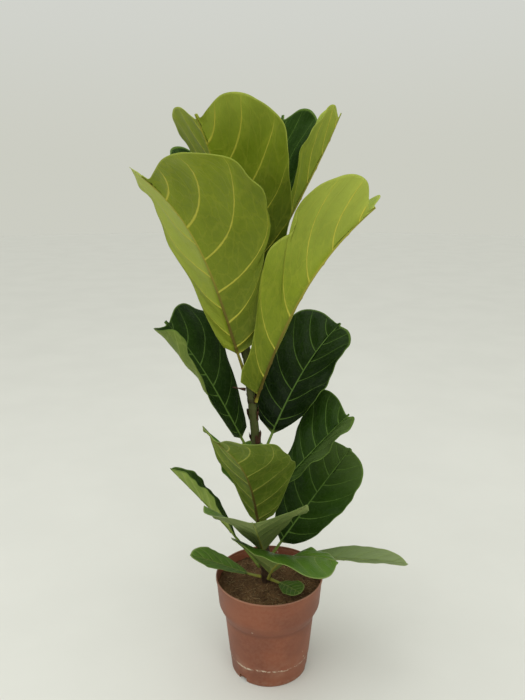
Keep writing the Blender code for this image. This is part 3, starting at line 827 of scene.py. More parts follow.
@dataclass
class Stem:
    """The stem with its leaf scars, its bud and the dry sheaths and stubs at its nodes."""

    soil_edge: float = 0.148
    line: tuple[tuple[float, float, float], ...] = (
        (-0.004, 0.0, -0.030), (-0.004, 0.0, 0.008), (-0.006, 0.0, 0.037), (-0.011, 0.0, 0.102),
        (-0.016, 0.0, 0.182), (-0.022, 0.0, 0.262), (-0.031, 0.0, 0.352), (-0.038, 0.0, 0.422),
        (-0.041, 0.0, 0.472))
    foot_radius: float = 0.0085
    tip_radius: float = 0.0055
    bud_length: float = 0.045
    bud_radius: float = 0.0045
    stubs: tuple[tuple[str, float, int, float], ...] = (
        ("dry_scale_left", 0.324, -1, 0.020), ("dry_scale_right", 0.330, 1, 0.012))
    sheath_heights: tuple[float, ...] = (0.240, 0.276, 0.303, 0.338, 0.372, 0.402, 0.432)
    rings: int = 300
    around: int = 32
    swell: float = 0.00045
    neck: float = 0.0003
    uneven: float = 0.00035
    cone_grid: tuple[int, int] = (28, 28)
    sheath_grid: tuple[int, int] = (12, 26)
    sheath_wall: float = 0.0004

    def point(self, height: float) -> Vector:
        """Centre of the stem at a height above the soil's edge."""
        return Vector((read([(row[2], row[0]) for row in self.line], height), 0.0, height + self.soil_edge))

    def radius(self, height: float) -> float:
        """Radius of the stem at a height above the soil's edge."""
        return read([(self.line[0][2], self.foot_radius), (self.line[-1][2], self.tip_radius)], height)

    def build(self, nodes: Sequence[float]) -> Thing:
        """Make the stem.

        Args:
            nodes: Heights of its leaf nodes above the soil's edge.

        Returns:
            The stem's object.
        """
        heights = np.linspace(self.line[0][2], self.line[-1][2], self.rings)
        angles = np.linspace(0.0, FULL_TURN, self.around, endpoint=False)
        rings = np.zeros((self.rings, self.around, 3))
        scar = np.zeros((self.rings, self.around))
        for row, height in enumerate(heights):
            nearest = min(abs(height - node) for node in nodes)
            swell = self.swell * bell(nearest, 0.0, 0.004) - self.neck * bell(nearest, 0.006, 0.002)
            centre = self.point(float(height))
            for column, angle in enumerate(angles):
                spot = Vector((math.cos(angle), math.sin(angle), 0.0))
                uneven = self.uneven * noise.noise(Vector((spot.x * 2.0, spot.y * 2.0, height * 45.0)))
                radius = self.radius(float(height)) - 0.0002 + swell + uneven
                rings[row, column] = centre + spot * radius
            scar[row] = bell(nearest, 0.0015, 0.0016)
        return Bench.wrap("leaning_stem", rings, {"scar": scar})

    def cone(self, name: str, foot: Vector, along: Vector, length: float, shape: Callable[[float], float],
             ribs: int, twist: float) -> Thing:
        """Make a pointed bud or stub.

        Args:
            name: The piece's name.
            foot: Where it starts.
            along: The direction it points in.
            length: Its length.
            shape: Radius at a share of its length.
            ribs: Number of folds round it.
            twist: How far the folds turn from foot to point.

        Returns:
            The new object.
        """
        turn = Vector((0, 0, 1)).rotation_difference(along)
        shares = np.linspace(0.0, 1.0, self.cone_grid[0])
        angles = np.linspace(0.0, FULL_TURN, self.cone_grid[1], endpoint=False)
        rings = np.zeros((*self.cone_grid, 3))
        for row, share in enumerate(shares):
            for column, angle in enumerate(angles):
                fold = 1.0 + 0.10 * math.cos(ribs * angle + twist * share) * (1.0 - share)
                radius = shape(float(share)) * fold
                spot = Vector((radius * math.cos(angle), radius * math.sin(angle), share * length))
                rings[row, column] = foot + turn @ spot
        return Bench.wrap(name, rings, {"scar": np.zeros(rings.shape[:2])})

    def bud(self) -> Thing:
        """Make the pointed bud at the stem's tip."""
        top = self.point(self.line[-1][2])

        def shape(share: float) -> float:
            """Radius of the bud at a share of its length."""
            belly = 0.9 + 0.25 * math.sin(math.pi * share)
            return max(0.0004, self.bud_radius * (1.0 - share ** 1.6) * belly)

        foot, lean = top + Vector((0, 0, 0.0006)), Vector((-0.06, 0.0, 1.0))
        return self.cone("pointed_bud", foot, lean, self.bud_length, shape, 3, 2.2)

    def stub(self, name: str, height: float, side: int, length: float) -> Thing:
        """Make the dry end of an old leaf's scale."""
        foot = self.point(height)
        foot.x += side * (self.radius(height) + 0.0010)

        def shape(share: float) -> float:
            """Radius of the stub at a share of its length."""
            return 0.0023 * (1.0 - 0.82 * share) + 0.0003 * math.sin(9.0 * share)

        return self.cone(name + "_curl", foot, Vector((side, -0.2, -0.25 * side)), length, shape, 4, 1.5)

    def sheath(self, number: int, height: float, rng: random.Random) -> Thing:
        """Make one papery sheath: a thin ragged shell wrapped part of the way round the stem.

        Args:
            number: The sheath's number, for its name.
            height: Height of its foot above the soil's edge.
            rng: Source of its ragged edge.

        Returns:
            The new object.
        """
        tall = rng.uniform(0.016, 0.026)
        start = rng.uniform(0.0, FULL_TURN)
        sweep = math.radians(rng.uniform(200.0, 300.0))
        rows, columns = self.sheath_grid
        ragged = [rng.uniform(0.55, 1.0) for _ in range(columns + 1)]
        bpy.ops.object.select_all(action="DESELECT")
        bpy.ops.mesh.primitive_grid_add(x_subdivisions=columns, y_subdivisions=rows, size=1.0)
        thing = Bench.named(f"papery_sheath_{number}")
        for index, vertex in enumerate(thing.data.vertices):
            row, column = divmod(index, columns + 1)
            share = row / rows
            up = share * tall * ragged[column] * (0.65 + 0.35 * math.sin(math.pi * column / columns))
            centre = self.point(height + up)
            flare = 0.0005 + 0.0022 * share ** 2 * (0.4 + 0.6 * ragged[-1 - column])
            angle = start + sweep * column / columns
            radius = self.radius(height + up) + flare
            vertex.co = centre + Vector((radius * math.cos(angle), radius * math.sin(angle), 0.0))
        Bench.modify(thing, "SOLIDIFY", thickness=self.sheath_wall, offset=1.0)
        Bench.only(thing)
        bpy.ops.object.shade_smooth()
        layer = thing.data.attributes.new("scar", "FLOAT", "POINT")
        layer.data.foreach_set("value", np.zeros(len(thing.data.vertices), np.float32))
        return thing


# ---------------------------------------------------------------------------------------------- soil


@dataclass
class Soil:
    """Potting soil: a lumpy bed that fills the pot, loose clods and pale fibres."""

    pot: Pot
    stem: Stem
    below_rim: float = 0.015
    crown: float = 0.003
    gap: float = 0.0004
    cells: int = 150
    swells: tuple[float, float, float] = (0.0018, 0.0019, 0.0006)
    edge_drop: float = 0.0010
    foot: float = 0.0092
    clod_count: int = 420
    clod_models: int = 5
    crumb_share: float = 0.8
    crumb_sizes: tuple[float, float] = (0.0005, 0.0012)
    clod_sizes: tuple[float, float] = (0.0012, 0.0023)
    fibre_count: int = 230
    fibre_grid: tuple[int, int] = (7, 5)
    fibre_lengths: tuple[float, float] = (0.004, 0.014)
    fibre_radii: tuple[float, float] = (0.00013, 0.00030)
    seed: int = 11

    def edge(self) -> float:
        """Radius of the soil where it meets the pot's wall."""
        return self.pot.inside_radius(self.pot.height - self.below_rim) - self.gap

    def surface(self, x: float, y: float) -> float:
        """Height of the soil's surface above a point."""
        share = min(1.0, math.hypot(x, y) / self.edge())
        level = self.pot.height - self.below_rim + self.crown * (1.0 - share ** 2)
        broad = self.swells[0] * noise.noise(Vector((x * 38.0, y * 38.0, 0.3)))
        lumps = self.swells[1] * noise.fractal(Vector((x * 120.0, y * 120.0, 1.7)), 0.8, 2.1, 5)
        crumbs = self.swells[2] * noise.noise(Vector((x * 520.0, y * 520.0, 4.2)))
        return level + broad + lumps + crumbs - self.edge_drop * share ** 6

    def bed(self) -> Thing:
        """Make the bed: a square grid drawn out to a disc, then extruded down to the pot's floor."""
        bpy.ops.object.select_all(action="DESELECT")
        bpy.ops.mesh.primitive_grid_add(x_subdivisions=self.cells, y_subdivisions=self.cells, size=2.0)
        bed = Bench.named("soil_bed")
        edge = self.edge()
        for vertex in bed.data.vertices:
            across, back = vertex.co.x, vertex.co.y
            x = edge * across * math.sqrt(1.0 - back * back / 2.0)
            y = edge * back * math.sqrt(1.0 - across * across / 2.0)
            vertex.co = (x, y, self.surface(x, y))
        bpy.ops.object.mode_set(mode="EDIT")
        bpy.ops.mesh.select_mode(type="EDGE")
        bpy.ops.mesh.select_all(action="DESELECT")
        bpy.ops.mesh.select_non_manifold(extend=False)
        top, bottom = self.pot.shoulder_top, self.pot.shoulder_bottom
        levels = (top, (top + bottom) / 2.0, bottom, self.pot.ridge_height, self.foot)
        below = edge
        for level in levels:
            bpy.ops.mesh.extrude_edges_move()
            share = (self.pot.inside_radius(level) - self.gap) / below
            bpy.ops.transform.resize(value=(share, share, 1.0), center_override=(0.0, 0.0, 0.0))
            below *= share
            self.settle(bed, level)
        bpy.ops.mesh.edge_face_add()
        bpy.ops.mesh.select_mode(type="VERT")
        bpy.ops.mesh.select_all(action="SELECT")
        bpy.ops.mesh.normals_make_consistent(inside=False)
        bpy.ops.object.mode_set(mode="OBJECT")
        bpy.ops.object.shade_smooth_by_angle(angle=math.radians(60.0))
        return bed

    @staticmethod
    def settle(bed: Thing, level: float) -> None:
        """Bring the selected points to one level and leave them selected."""
        bpy.ops.object.mode_set(mode="OBJECT")
        for vertex in bed.data.vertices:
            if vertex.select:
                vertex.co.z = level
        bpy.ops.object.mode_set(mode="EDIT")

    def spot(self, rng: random.Random, margin: float) -> Vector:
        """Pick a spot on the soil, clear of the stem and the wall."""
        while True:
            angle, share = rng.uniform(0.0, FULL_TURN), math.sqrt(rng.random())
            out = share * (self.edge() - margin)
            x, y = out * math.cos(angle), out * math.sin(angle)
            if math.hypot(x - self.stem.line[0][0], y) > self.stem.foot_radius + 0.003:
                return Vector((x, y, self.surface(x, y)))

    def clods(self) -> Thing:
        """Scatter crumbs of soil: a few are modelled and then copied, each copy with its own mesh."""
        rng = random.Random(self.seed)
        models = []
        for number in range(self.clod_models):
            bpy.ops.object.select_all(action="DESELECT")
            bpy.ops.mesh.primitive_ico_sphere_add(subdivisions=2, radius=1.0)
            model = Bench.named(f"clod_model_{number}")
            for vertex in model.data.vertices:
                vertex.co *= 1.0 + 0.55 * noise.noise(vertex.co * 1.3 + Vector((number * 7.0, 0.0, 0.0)))
            models.append(model)
        copies = []
        for _ in range(self.clod_count):
            model = rng.choice(models)
            copy = model.copy()
            copy.data = model.data.copy()
            bpy.context.scene.collection.objects.link(copy)
            size = rng.uniform(*(self.crumb_sizes if rng.random() < self.crumb_share else self.clod_sizes))
            copy.location = self.spot(rng, 0.002) + Vector((0, 0, size * 0.2))
            copy.rotation_euler = Euler([rng.uniform(0.0, 6.28) for _ in range(3)])
            copy.scale = (size, size * rng.uniform(0.6, 1.0), size * rng.uniform(0.5, 0.9))
            copies.append(copy)
        for model in models:
            bpy.data.objects.remove(model, do_unlink=True)
        clods = Bench.join("soil_clods", copies)
        Bench.apply(clods)
        bpy.ops.object.shade_smooth()
        return clods

    def fibres(self) -> Thing:
        """Lay pale fibres on the soil as thin curved strands."""
        rng = random.Random(self.seed + 1)
        strands = []
        for _ in range(self.fibre_count):
            start = self.spot(rng, 0.008)
            heading = rng.uniform(0.0, FULL_TURN)
            length = rng.uniform(*self.fibre_lengths)
            bend = rng.uniform(-1.6, 1.6)
            thick = rng.uniform(*self.fibre_radii)
            rows, columns = self.fibre_grid
            rings = np.zeros((rows, columns, 3))
            for row in range(rows):
                share = row / (rows - 1)
                angle = heading + bend * share
                x = start.x + length * share * math.cos(angle)
                y = start.y + length * share * math.sin(angle)
                out = math.hypot(x, y)
                limit = self.edge() - 0.002
                if out > limit:
                    x, y = x * limit / out, y * limit / out
                arch = 0.0008 * math.sin(math.pi * share)
                centre = Vector((x, y, self.surface(x, y) + thick + arch))
                across = Vector((-math.sin(angle), math.cos(angle), 0.0))
                for column in range(columns):
                    turn = FULL_TURN * column / columns
                    rings[row, column] = centre + thick * (1.0 - 0.5 * share) * (
                        across * math.cos(turn) + Vector((0, 0, math.sin(turn))))
            strands.append(Bench.wrap("strand", rings, {}))
        return Bench.join("soil_fibres", strands)


# ---------------------------------------------------------------------------------------------- leaves

# Outline of half a blade, from base to tip. Each row is (share of the half width, share of the length,
# share of the midrib where the side vein that ends there starts).
FIDDLE_OUTLINE = (
    (0.00, 0.00, 0.000), (0.11, 0.00, 0.003), (0.21, 0.03, 0.008), (0.29, 0.11, 0.02), (0.38, 0.24, 0.07),
    (0.50, 0.40, 0.15), (0.68, 0.56, 0.235), (0.87, 0.70, 0.32), (0.99, 0.82, 0.41), (0.97, 0.93, 0.52),
    (0.78, 1.01, 0.66), (0.48, 1.03, 0.80), (0.20, 1.00, 0.91), (0.05, 0.985, 0.97), (0.00, 1.02, 1.02))
OVAL_OUTLINE = (
    (0.00, 0.00, 0.000), (0.14, 0.01, 0.003), (0.30, 0.05, 0.008), (0.46, 0.13, 0.02), (0.62, 0.24, 0.07),
    (0.79, 0.37, 0.15), (0.92, 0.50, 0.235), (0.99, 0.61, 0.32), (0.98, 0.72, 0.41), (0.88, 0.82, 0.52),
    (0.71, 0.90, 0.66), (0.48, 0.96, 0.80), (0.24, 0.99, 0.91), (0.08, 1.00, 0.97), (0.00, 1.02, 1.02))
# Where each side vein of the left half starts, as a share of the midrib. The right half's veins lie between.
VEIN_STARTS = (0.0, 0.03, 0.17, 0.34, 0.52, 0.70, 0.86, 1.01)
RIGHT_PHASE = 0.45
# Rows beside each vein and between two veins, counted in veins.
BESIDE_VEIN = (-0.12, -0.04, 0.0, 0.04, 0.12)
BETWEEN_VEINS = (0.19, 0.26, 0.64, 0.71, 0.78, 0.83)
# Columns on the midrib and out to the margin, as shares of half the blade.
ON_RIB = (-0.02, -0.01, 0.0, 0.01, 0.02)
OFF_RIB = (0.06, 0.12, 0.19, 0.27, 0.35, 0.43, 0.52, 0.61, 0.70, 0.79, 0.87, 0.935, 0.98, 1.0)
# How far from the midrib's middle its own columns lie, in metres.
RIB_COLUMNS = ((1, 0.0010), (2, 0.0022))
# The midrib's line: how many points it has and how far it runs on past the tip.
MIDRIB_POINTS = 161
PAST_TIP = 1.12
STALK_RADIUS = 0.0026
STALK_GAP = 0.0003


@dataclass(frozen=True)
class LeafShape:
    """One leaf: where it leaves the stem, how its midrib runs and how its halves fold. Angles in degrees."""

    name: str
    node: float
    azimuth: float
    length: float
    left: float
    right: float
    finish: LeafFinish
    stalk: float = 0.03
    rise: tuple[float, float, float] = (60, 60, 60)
    turn: tuple[float, float] = (0, 0)
    roll: tuple[float, float] = (0, 0)
    fold_left: tuple[float, float] = (30, 15)
    fold_right: tuple[float, float] = (30, 15)
    curl_left: tuple[float, float] = (0, 0)
    curl_right: tuple[float, float] = (0, 0)
    oval: float = 0.0
    wave: float = 0.006
    waves: float = 2.5
    ripple: float = 0.0016
    pucker: float = 0.0013
    edge_left: tuple[tuple[float, float], ...] = ()
    edge_right: tuple[tuple[float, float], ...] = ()
    crest: tuple[float, float] = (0, 0)
    # Painted light from base to tip: above 0 it is painted shade, with the real darker green near the base
    # of young leaves, and below 0 a painted sheen and the glow of light shining through.
    tone: tuple[float, float] = (0, 0)
    # Painted light on one half: below 0 that half is painted paler, where light shines through it; above 0
    # it is painted darker.
    side: tuple[float, float] = (0, 0)


LEAVES = (
    LeafShape("upper_front_left", 0.357, 221, 0.285, 0.142, 0.110, YOUNG, rise=(68, 66, 37), turn=(-2, -15),
              roll=(-10, -12), fold_left=(60, 30), fold_right=(-28, 0), tone=(0.75, -0.05),
              edge_left=((0, 1), (0.4, 1), (0.55, 0.98), (0.68, 1.08), (0.76, 1.06), (0.85, 0.97),
                         (1.05, 1)), side=(0, -0.8), pucker=0.0026),
    LeafShape("upper_front_right", 0.307, 316, 0.328, 0.062, 0.074, YOUNG, stalk=0.015, rise=(66, 59, 40),
              turn=(5, 20), roll=(-30, -30), fold_left=(62, 52), fold_right=(20, 47), tone=(0.95, -0.25),
              edge_right=((0, 2.1), (0.05, 2.0), (0.1, 1.7), (0.16, 1.4), (0.24, 1.25), (0.34, 1.25),
                          (0.48, 1.34), (0.6, 1.3), (0.68, 1.02), (0.75, 0.8), (0.86, 0.98), (1.03, 0.92)),
              crest=(0, 0.02), side=(-0.1, -0.3), pucker=0.0026),
    LeafShape("crown_front", 0.427, 244, 0.262, 0.110, 0.100, YOUNG, rise=(80, 74, 60), turn=(-5, -20),
              fold_left=(35, 20), fold_right=(45, 20), crest=(0.038, 0.0), tone=(1.5, -0.2),
              edge_left=((0, 1.5), (0.2, 1.7), (0.4, 1.5), (0.6, 1.15), (0.8, 0.97), (0.95, 0.93),
                         (1.1, 0.95)), side=(-0.12, 0.1), pucker=0.0026),
    LeafShape("crown_back_right", 0.449, 50, 0.250, 0.080, 0.075, DARK, rise=(68, 73, 75),
              fold_left=(20, 10), fold_right=(20, 10)),
    LeafShape("crown_right", 0.462, 350, 0.250, 0.030, 0.034, YOUNG, rise=(62, 62, 66), fold_left=(40, 60),
              fold_right=(40, 45), wave=0.004, pucker=0.0007, tone=(0.2, -0.3)),
    LeafShape("crown_back_left", 0.407, 120, 0.260, 0.065, 0.065, DARK, rise=(72, 64, 55),
              fold_left=(25, 10), fold_right=(25, 10)),
    LeafShape("middle_left", 0.217, 165, 0.207, 0.090, 0.092, DARK, stalk=0.035, rise=(60, 59, 47),
              turn=(0, 12), roll=(-10, -10), fold_left=(-10, -20), curl_left=(170, 85), fold_right=(20, 10),
              pucker=0.0018, tone=(0.6, 0.3)),
    LeafShape("middle_right", 0.212, 40, 0.203, 0.088, 0.043, DARK, stalk=0.045, rise=(61, 51, 37),
              roll=(25, 25), fold_left=(20, 5), fold_right=(10, 0), oval=0.5, pucker=0.0020,
              edge_right=((0, 1.2), (0.1, 1.6), (0.25, 1.8), (0.42, 1.6), (0.6, 1.15), (0.75, 1.0),
                          (1.03, 1.0)),
              edge_left=((0, 1.2), (0.2, 1.25), (0.5, 1.05), (0.75, 0.84), (1.03, 0.9)), turn=(0, -12),
              tone=(1.2, 0.5)),
    LeafShape("lower_right_small", 0.147, 8, 0.147, 0.072, 0.034, DARK, stalk=0.035, rise=(42, 47, 42),
              fold_left=(45, 38), fold_right=(-5, -15), tone=(0.4, -0.1),
              edge_right=((0, 1.6), (0.3, 1.7), (0.6, 1.1), (0.8, 0.8), (1.03, 0.6)), side=(0, -0.5)),
    LeafShape("centre_front", 0.087, 245, 0.195, 0.095, 0.074, CENTRE, rise=(75, 62, 40), turn=(0, -44),
              fold_left=(35, 20), fold_right=(15, 5),
              edge_left=((0, 1.3), (0.2, 1.35), (0.4, 1.3), (0.6, 1.12), (0.8, 0.98), (1.03, 1)),
              edge_right=((0, 1), (0.6, 0.95), (0.8, 0.92), (1.03, 0.95)), pucker=0.0022),
    LeafShape("lower_left", 0.025, 168, 0.143, 0.034, 0.028, DARK, stalk=0.07, rise=(53, 47, 44),
              turn=(0, 5), fold_left=(40, 45), curl_left=(40, 20), fold_right=(30, 20), wave=0.003, oval=1,
              tone=(-0.1, -0.1)),
    LeafShape("lower_front", 0.052, 264, 0.147, 0.082, 0.082, LOW, rise=(46, 45, 42), fold_left=(45, 20),
              fold_right=(33, 12), oval=0.55, tone=(0, -0.2)),
    LeafShape("low_front_right", 0.012, 286, 0.147, 0.044, 0.098, LOW, stalk=0.02, rise=(60, 34, -16),
              turn=(32, 62), fold_left=(5, -20), fold_right=(60, 5), oval=0.9, wave=0.004,
              edge_right=((0, 1.6), (0.3, 1.3), (0.6, 1), (1, 1)),
              edge_left=((0, 1), (0.5, 1), (0.8, 0.8), (1.03, 0.7))),
    LeafShape("low_right", 0.036, 2, 0.180, 0.032, 0.030, LOW, stalk=0.04, rise=(3, -2, -10), oval=1,
              fold_left=(18, 10), fold_right=(30, 20), wave=0.001, pucker=0.0008, tone=(-0.3, -0.8),
              ripple=0.0005),
    LeafShape("lower_right_oval", 0.044, 25, 0.182, 0.080, 0.061, DARK, rise=(49, 48, 46), roll=(20, 20),
              oval=0.9, fold_left=(10, 0), fold_right=(8, 0), wave=0.004, pucker=0.0020, tone=(0.7, -0.5),
              edge_right=((0, 1.4), (0.2, 1.35), (0.4, 1.15), (0.6, 1), (1, 1))),
    LeafShape("rim_left", 0.010, 188, 0.096, 0.028, 0.028, LOW, stalk=0.025, rise=(16, 26, 18), oval=1,
              fold_left=(15, 10), fold_right=(15, 10), wave=0.001, pucker=0.0006, tone=(0.3, 0.2),
              ripple=0.0004),
    LeafShape("soil_small", 0.008, 318, 0.041, 0.021, 0.021, LOW, stalk=0.02, rise=(5, 2, -5), oval=1,
              fold_left=(10, 5), fold_right=(10, 5), wave=0.001, ripple=0.0004, pucker=0.0004,
              tone=(0.3, 0.3)),
    LeafShape("lower_back", 0.087, 130, 0.110, 0.050, 0.050, LOW, rise=(75, 68, 55), oval=0.4,
              fold_left=(20, 10), fold_right=(20, 10), wave=0.004),
)


def smooth_rows(points: Sequence[Sequence[float]], count: int) -> np.ndarray:
    """Draw a Catmull-Rom curve through rows of numbers.

    Args:
        points: The rows.
        count: How many rows to return.

    Returns:
        The curve's rows.
    """
    rows = np.array(points, float)
    rows = np.vstack([2 * rows[0] - rows[1], rows, 2 * rows[-1] - rows[-2]])
    spans = len(rows) - 3
    where = np.linspace(0, spans, count)
    first = np.minimum(where.astype(int), spans - 1)
    t = (where - first)[:, None]
    a, b, c, d = rows[first], rows[first + 1], rows[first + 2], rows[first + 3]
    square, cube = 2 * a - 5 * b + 4 * c - d, 3 * b - a - 3 * c + d
    return 0.5 * (2 * b + (c - a) * t + square * t ** 2 + cube * t ** 3)


def through(values: Sequence[float], t: np.ndarray) -> np.ndarray:
    """Quadratic through three values at t = 0, 0.5 and 1, held beyond 1."""
    a, b, c = values
    t = np.minimum(t, 1.0)
    return a + (4 * b - 3 * a - c) * t + (2 * a - 4 * b + 2 * c) * t ** 2


def edge_share(edge: Sequence[tuple[float, float]], height: np.ndarray) -> np.ndarray:
    """How much wider half a blade is than its outline, from rows of (share of the length, width)."""
    if not edge:
        return np.ones_like(height)
    line = smooth_rows(edge, 200)
    return np.interp(height, line[:, 0], line[:, 1])


class Midrib:
    """The line a leaf follows, with the directions along it, to its left and up from its upper side."""

    def __init__(self, leaf: LeafShape, stem: Stem) -> None:
        """Lay the line out from the stem to just past the tip.

        Args:
            leaf: The leaf.
            stem: The stem it grows on.
        """
        self.leaf = leaf
        self.along = np.linspace(0, leaf.stalk + PAST_TIP * leaf.length, MIDRIB_POINTS)
        t = self.along / (leaf.stalk + leaf.length)
        rise = np.radians(through(leaf.rise, t))
        heading = np.radians(leaf.azimuth + through((0, *leaf.turn), t))
        forward = np.stack([np.cos(rise) * np.cos(heading), np.cos(rise) * np.sin(heading), np.sin(rise)], 1)
        left = np.stack([-np.sin(heading), np.cos(heading), 0 * heading], 1)
        up = np.cross(forward, left)
        share = np.clip((self.along - leaf.stalk) / leaf.length, 0, 1)
        roll = np.radians(leaf.roll[0] + (leaf.roll[1] - leaf.roll[0]) * share)[:, None]
        self.left = left * np.cos(roll) + up * np.sin(roll)
        self.up = up * np.cos(roll) - left * np.sin(roll)
        steps = (forward[1:] + forward[:-1]) / 2 * (self.along[1] - self.along[0])
        reach = stem.radius(leaf.node) + STALK_GAP + STALK_RADIUS * math.sin(math.radians(leaf.rise[0]))
        angle = math.radians(leaf.azimuth)
        start = np.array(stem.point(leaf.node)) + reach * np.array([math.cos(angle), math.sin(angle), 0.0])
        self.points = start + np.vstack([np.zeros(3), np.cumsum(steps, 0)])

    def frame(self, distance: np.ndarray) -> tuple[np.ndarray, np.ndarray, np.ndarray]:
        """Read the line.

        Args:
            distance: Distances from the stem.

        Returns:
            Points, left directions and up directions there.
        """
        distance = np.clip(distance, 0, self.along[-1])

        points, left, up = (
            np.stack([np.interp(distance, self.along, table[:, axis]) for axis in range(3)], -1)
            for table in (self.points, self.left, self.up))
        left /= np.linalg.norm(left, axis=-1, keepdims=True)
        up /= np.linalg.norm(up, axis=-1, keepdims=True)
        return points, left, up


@dataclass
class Leaf:
    """One leaf as a closed skin: a round stalk that opens into a thin blade with a midrib and side veins."""

    shape: LeafShape
    stem: Stem
    seed: int
    stalk_radius: float = STALK_RADIUS
    stalk_rings: int = 12
    thickness: float = 0.0009
    margin: float = 0.0005
    rib_height: float = 0.0021
    vein_height: float = 0.0007
    unevenness: float = 0.0016

    def bend(self, midrib: Midrib, x: np.ndarray, y: np.ndarray) -> np.ndarray:
        """Carry flat leaf places onto the folded leaf.

        Args:
            midrib: The leaf's line.
            x: Places to the left.
            y: Places along the blade.

        Returns:
            Points in space.
        """
        leaf = self.shape
        point, left, up = midrib.frame(y + leaf.stalk)
        t = np.clip(y / leaf.length, 0, 1)
        on_left = x >= 0

        def between(left_pair: tuple, right_pair: tuple) -> np.ndarray:
            """Values of a left and a right pair at each place."""
            return np.where(on_left, left_pair[0] + (left_pair[1] - left_pair[0]) * t,
                            right_pair[0] + (right_pair[1] - right_pair[0]) * t)

        fold = np.radians(between(leaf.fold_left, leaf.fold_right))
        curl = np.radians(between(leaf.curl_left, leaf.curl_right))
        curl = np.where(np.abs(curl) < 0.001, 0.001, curl)
        half = np.where(on_left, leaf.left, leaf.right)
        share = np.abs(x) / half
        end = fold + curl * share
        across = half / curl * (np.sin(end) - np.sin(fold)) * np.where(on_left, 1, -1)
        lift = -half / curl * (np.cos(end) - np.cos(fold))
        phase = leaf.waves * t + np.where(on_left, 0, 0.37)
        lift = lift + leaf.wave * share ** 2 * np.sin(FULL_TURN * phase)
        quick = 7.0 * t + 0.11 * self.seed + np.where(on_left, 0, 0.6)
        lift = lift + leaf.ripple * share ** 4 * np.sin(FULL_TURN * quick)
        return point + left * across[..., None] + up * lift[..., None]

    def rows(self) -> np.ndarray:
        """Ranks of the blade's rows: close beside each side vein, wider between."""
        ranks = [0.25, 0.5]
        for number in range(1, len(VEIN_STARTS) - 1):
            ranks += [number + step for step in (*BESIDE_VEIN, *BETWEEN_VEINS)]
            ranks += [number + RIGHT_PHASE + step for step in BESIDE_VEIN]
        return np.array(sorted(ranks))

    def build(self) -> Thing:
        """Make the leaf.

        Returns:
            The leaf's object.
        """
        leaf = self.shape
        midrib = Midrib(leaf, self.stem)
        ranks = self.rows()
        starts = np.interp(ranks, range(len(VEIN_STARTS)), VEIN_STARTS)
        mixed = np.array(FIDDLE_OUTLINE) * (1 - leaf.oval) + np.array(OVAL_OUTLINE) * leaf.oval
        dense = smooth_rows(mixed, 600)
        order = np.maximum.accumulate(dense[:, 2])
        width = np.interp(starts, order, dense[:, 0])[:, None]
        height = np.interp(starts, order, dense[:, 1])[:, None]
        width[-1], height[-1], starts[-1] = 0.03, 1.01, 1.01
        lobes = np.sin(math.pi * np.clip(width, 0, 1)) * np.clip((starts[:, None] - 0.4) / 0.15, 0, 1)
        shares = np.array([-share for share in OFF_RIB[::-1]] + [*ON_RIB, *OFF_RIB])
        middle = len(shares) // 2
        on_left = shares >= 0
        half = np.where(on_left, leaf.left * edge_share(leaf.edge_left, height),
                        leaf.right * edge_share(leaf.edge_right, height)) * width
        height = height + np.where(on_left, leaf.crest[0], leaf.crest[1]) * lobes
        x = half * shares
        for step, reach in RIB_COLUMNS:
            for side, last in ((-1, 0), (1, -1)):
                x[:, middle + side * step] = side * np.minimum(reach, 0.10 * step * np.abs(x[:, last]))
        true_share = np.abs(x) / np.maximum(half, 1e-6)
        start = starts[:, None]
        y = leaf.length * (start + (height - start) * (0.42 * true_share + 0.58 * true_share ** 2.1))
        sheet = self.bend(midrib, x, y)
        normal = self.normals(midrib, x, y)
        distance, between = self.vein_distances(sheet, ranks, middle)
        sheet = sheet + normal * self.swell(sheet, x, between, true_share)[..., None]
        upper, lower = self.skins(sheet, normal, x, distance, true_share)
        along = np.clip(y / leaf.length, 0, 1)
        margin_distance = (1 - true_share) * np.abs(half)
        # Painted shade and painted light from base to tip, with the real darker green near the base.
        tone = leaf.tone[0] + (leaf.tone[1] - leaf.tone[0]) * along
        # Painted light on one half of the blade, growing outward from the midrib.
        tone = tone + np.where(x >= 0, leaf.side[0], leaf.side[1]) * np.clip(np.abs(x) / 0.008, 0, 1)
        down = np.repeat(ranks[:, None] * 2.3, len(shares), 1) + self.seed
        flat_net = np.stack([x * 55.0, down, 0 * x], -1)
        rings, marks = self.stalk(midrib, len(shares))
        count = len(marks["under"])
        blade = {
            "under": 0 * x, "along": along, "reach": true_share, "vein_distance": distance,
            "rib_distance": np.abs(x), "margin_distance": margin_distance, "stalk": 0 * x, "tone": tone,
            "net": flat_net}
        skin = np.concatenate([np.array(rings), np.concatenate([upper, lower[:, ::-1]], 1)])
        layers = {}
        for label, values in blade.items():
            below = values + 1 if label == "under" else values
            values = np.concatenate([values, below[:, ::-1]], 1)
            layers[label] = np.concatenate([marks.get(label, np.zeros((count, *values.shape[1:]))), values])
        return Bench.wrap("leaf_" + leaf.name + "_blade", skin, layers)

    def normals(self, midrib: Midrib, x: np.ndarray, y: np.ndarray) -> np.ndarray:
        """Upward directions of the folded sheet at flat places."""
        step = 0.0008
        side = self.bend(midrib, x + step, y) - self.bend(midrib, x - step, y)
        ahead = self.bend(midrib, x, y + step) - self.bend(midrib, x, y - step)
        normal = np.cross(ahead, side)
        normal /= np.linalg.norm(normal, axis=-1, keepdims=True)
        normal[-1] = midrib.frame(y[-1] + self.shape.stalk)[2]
        return normal

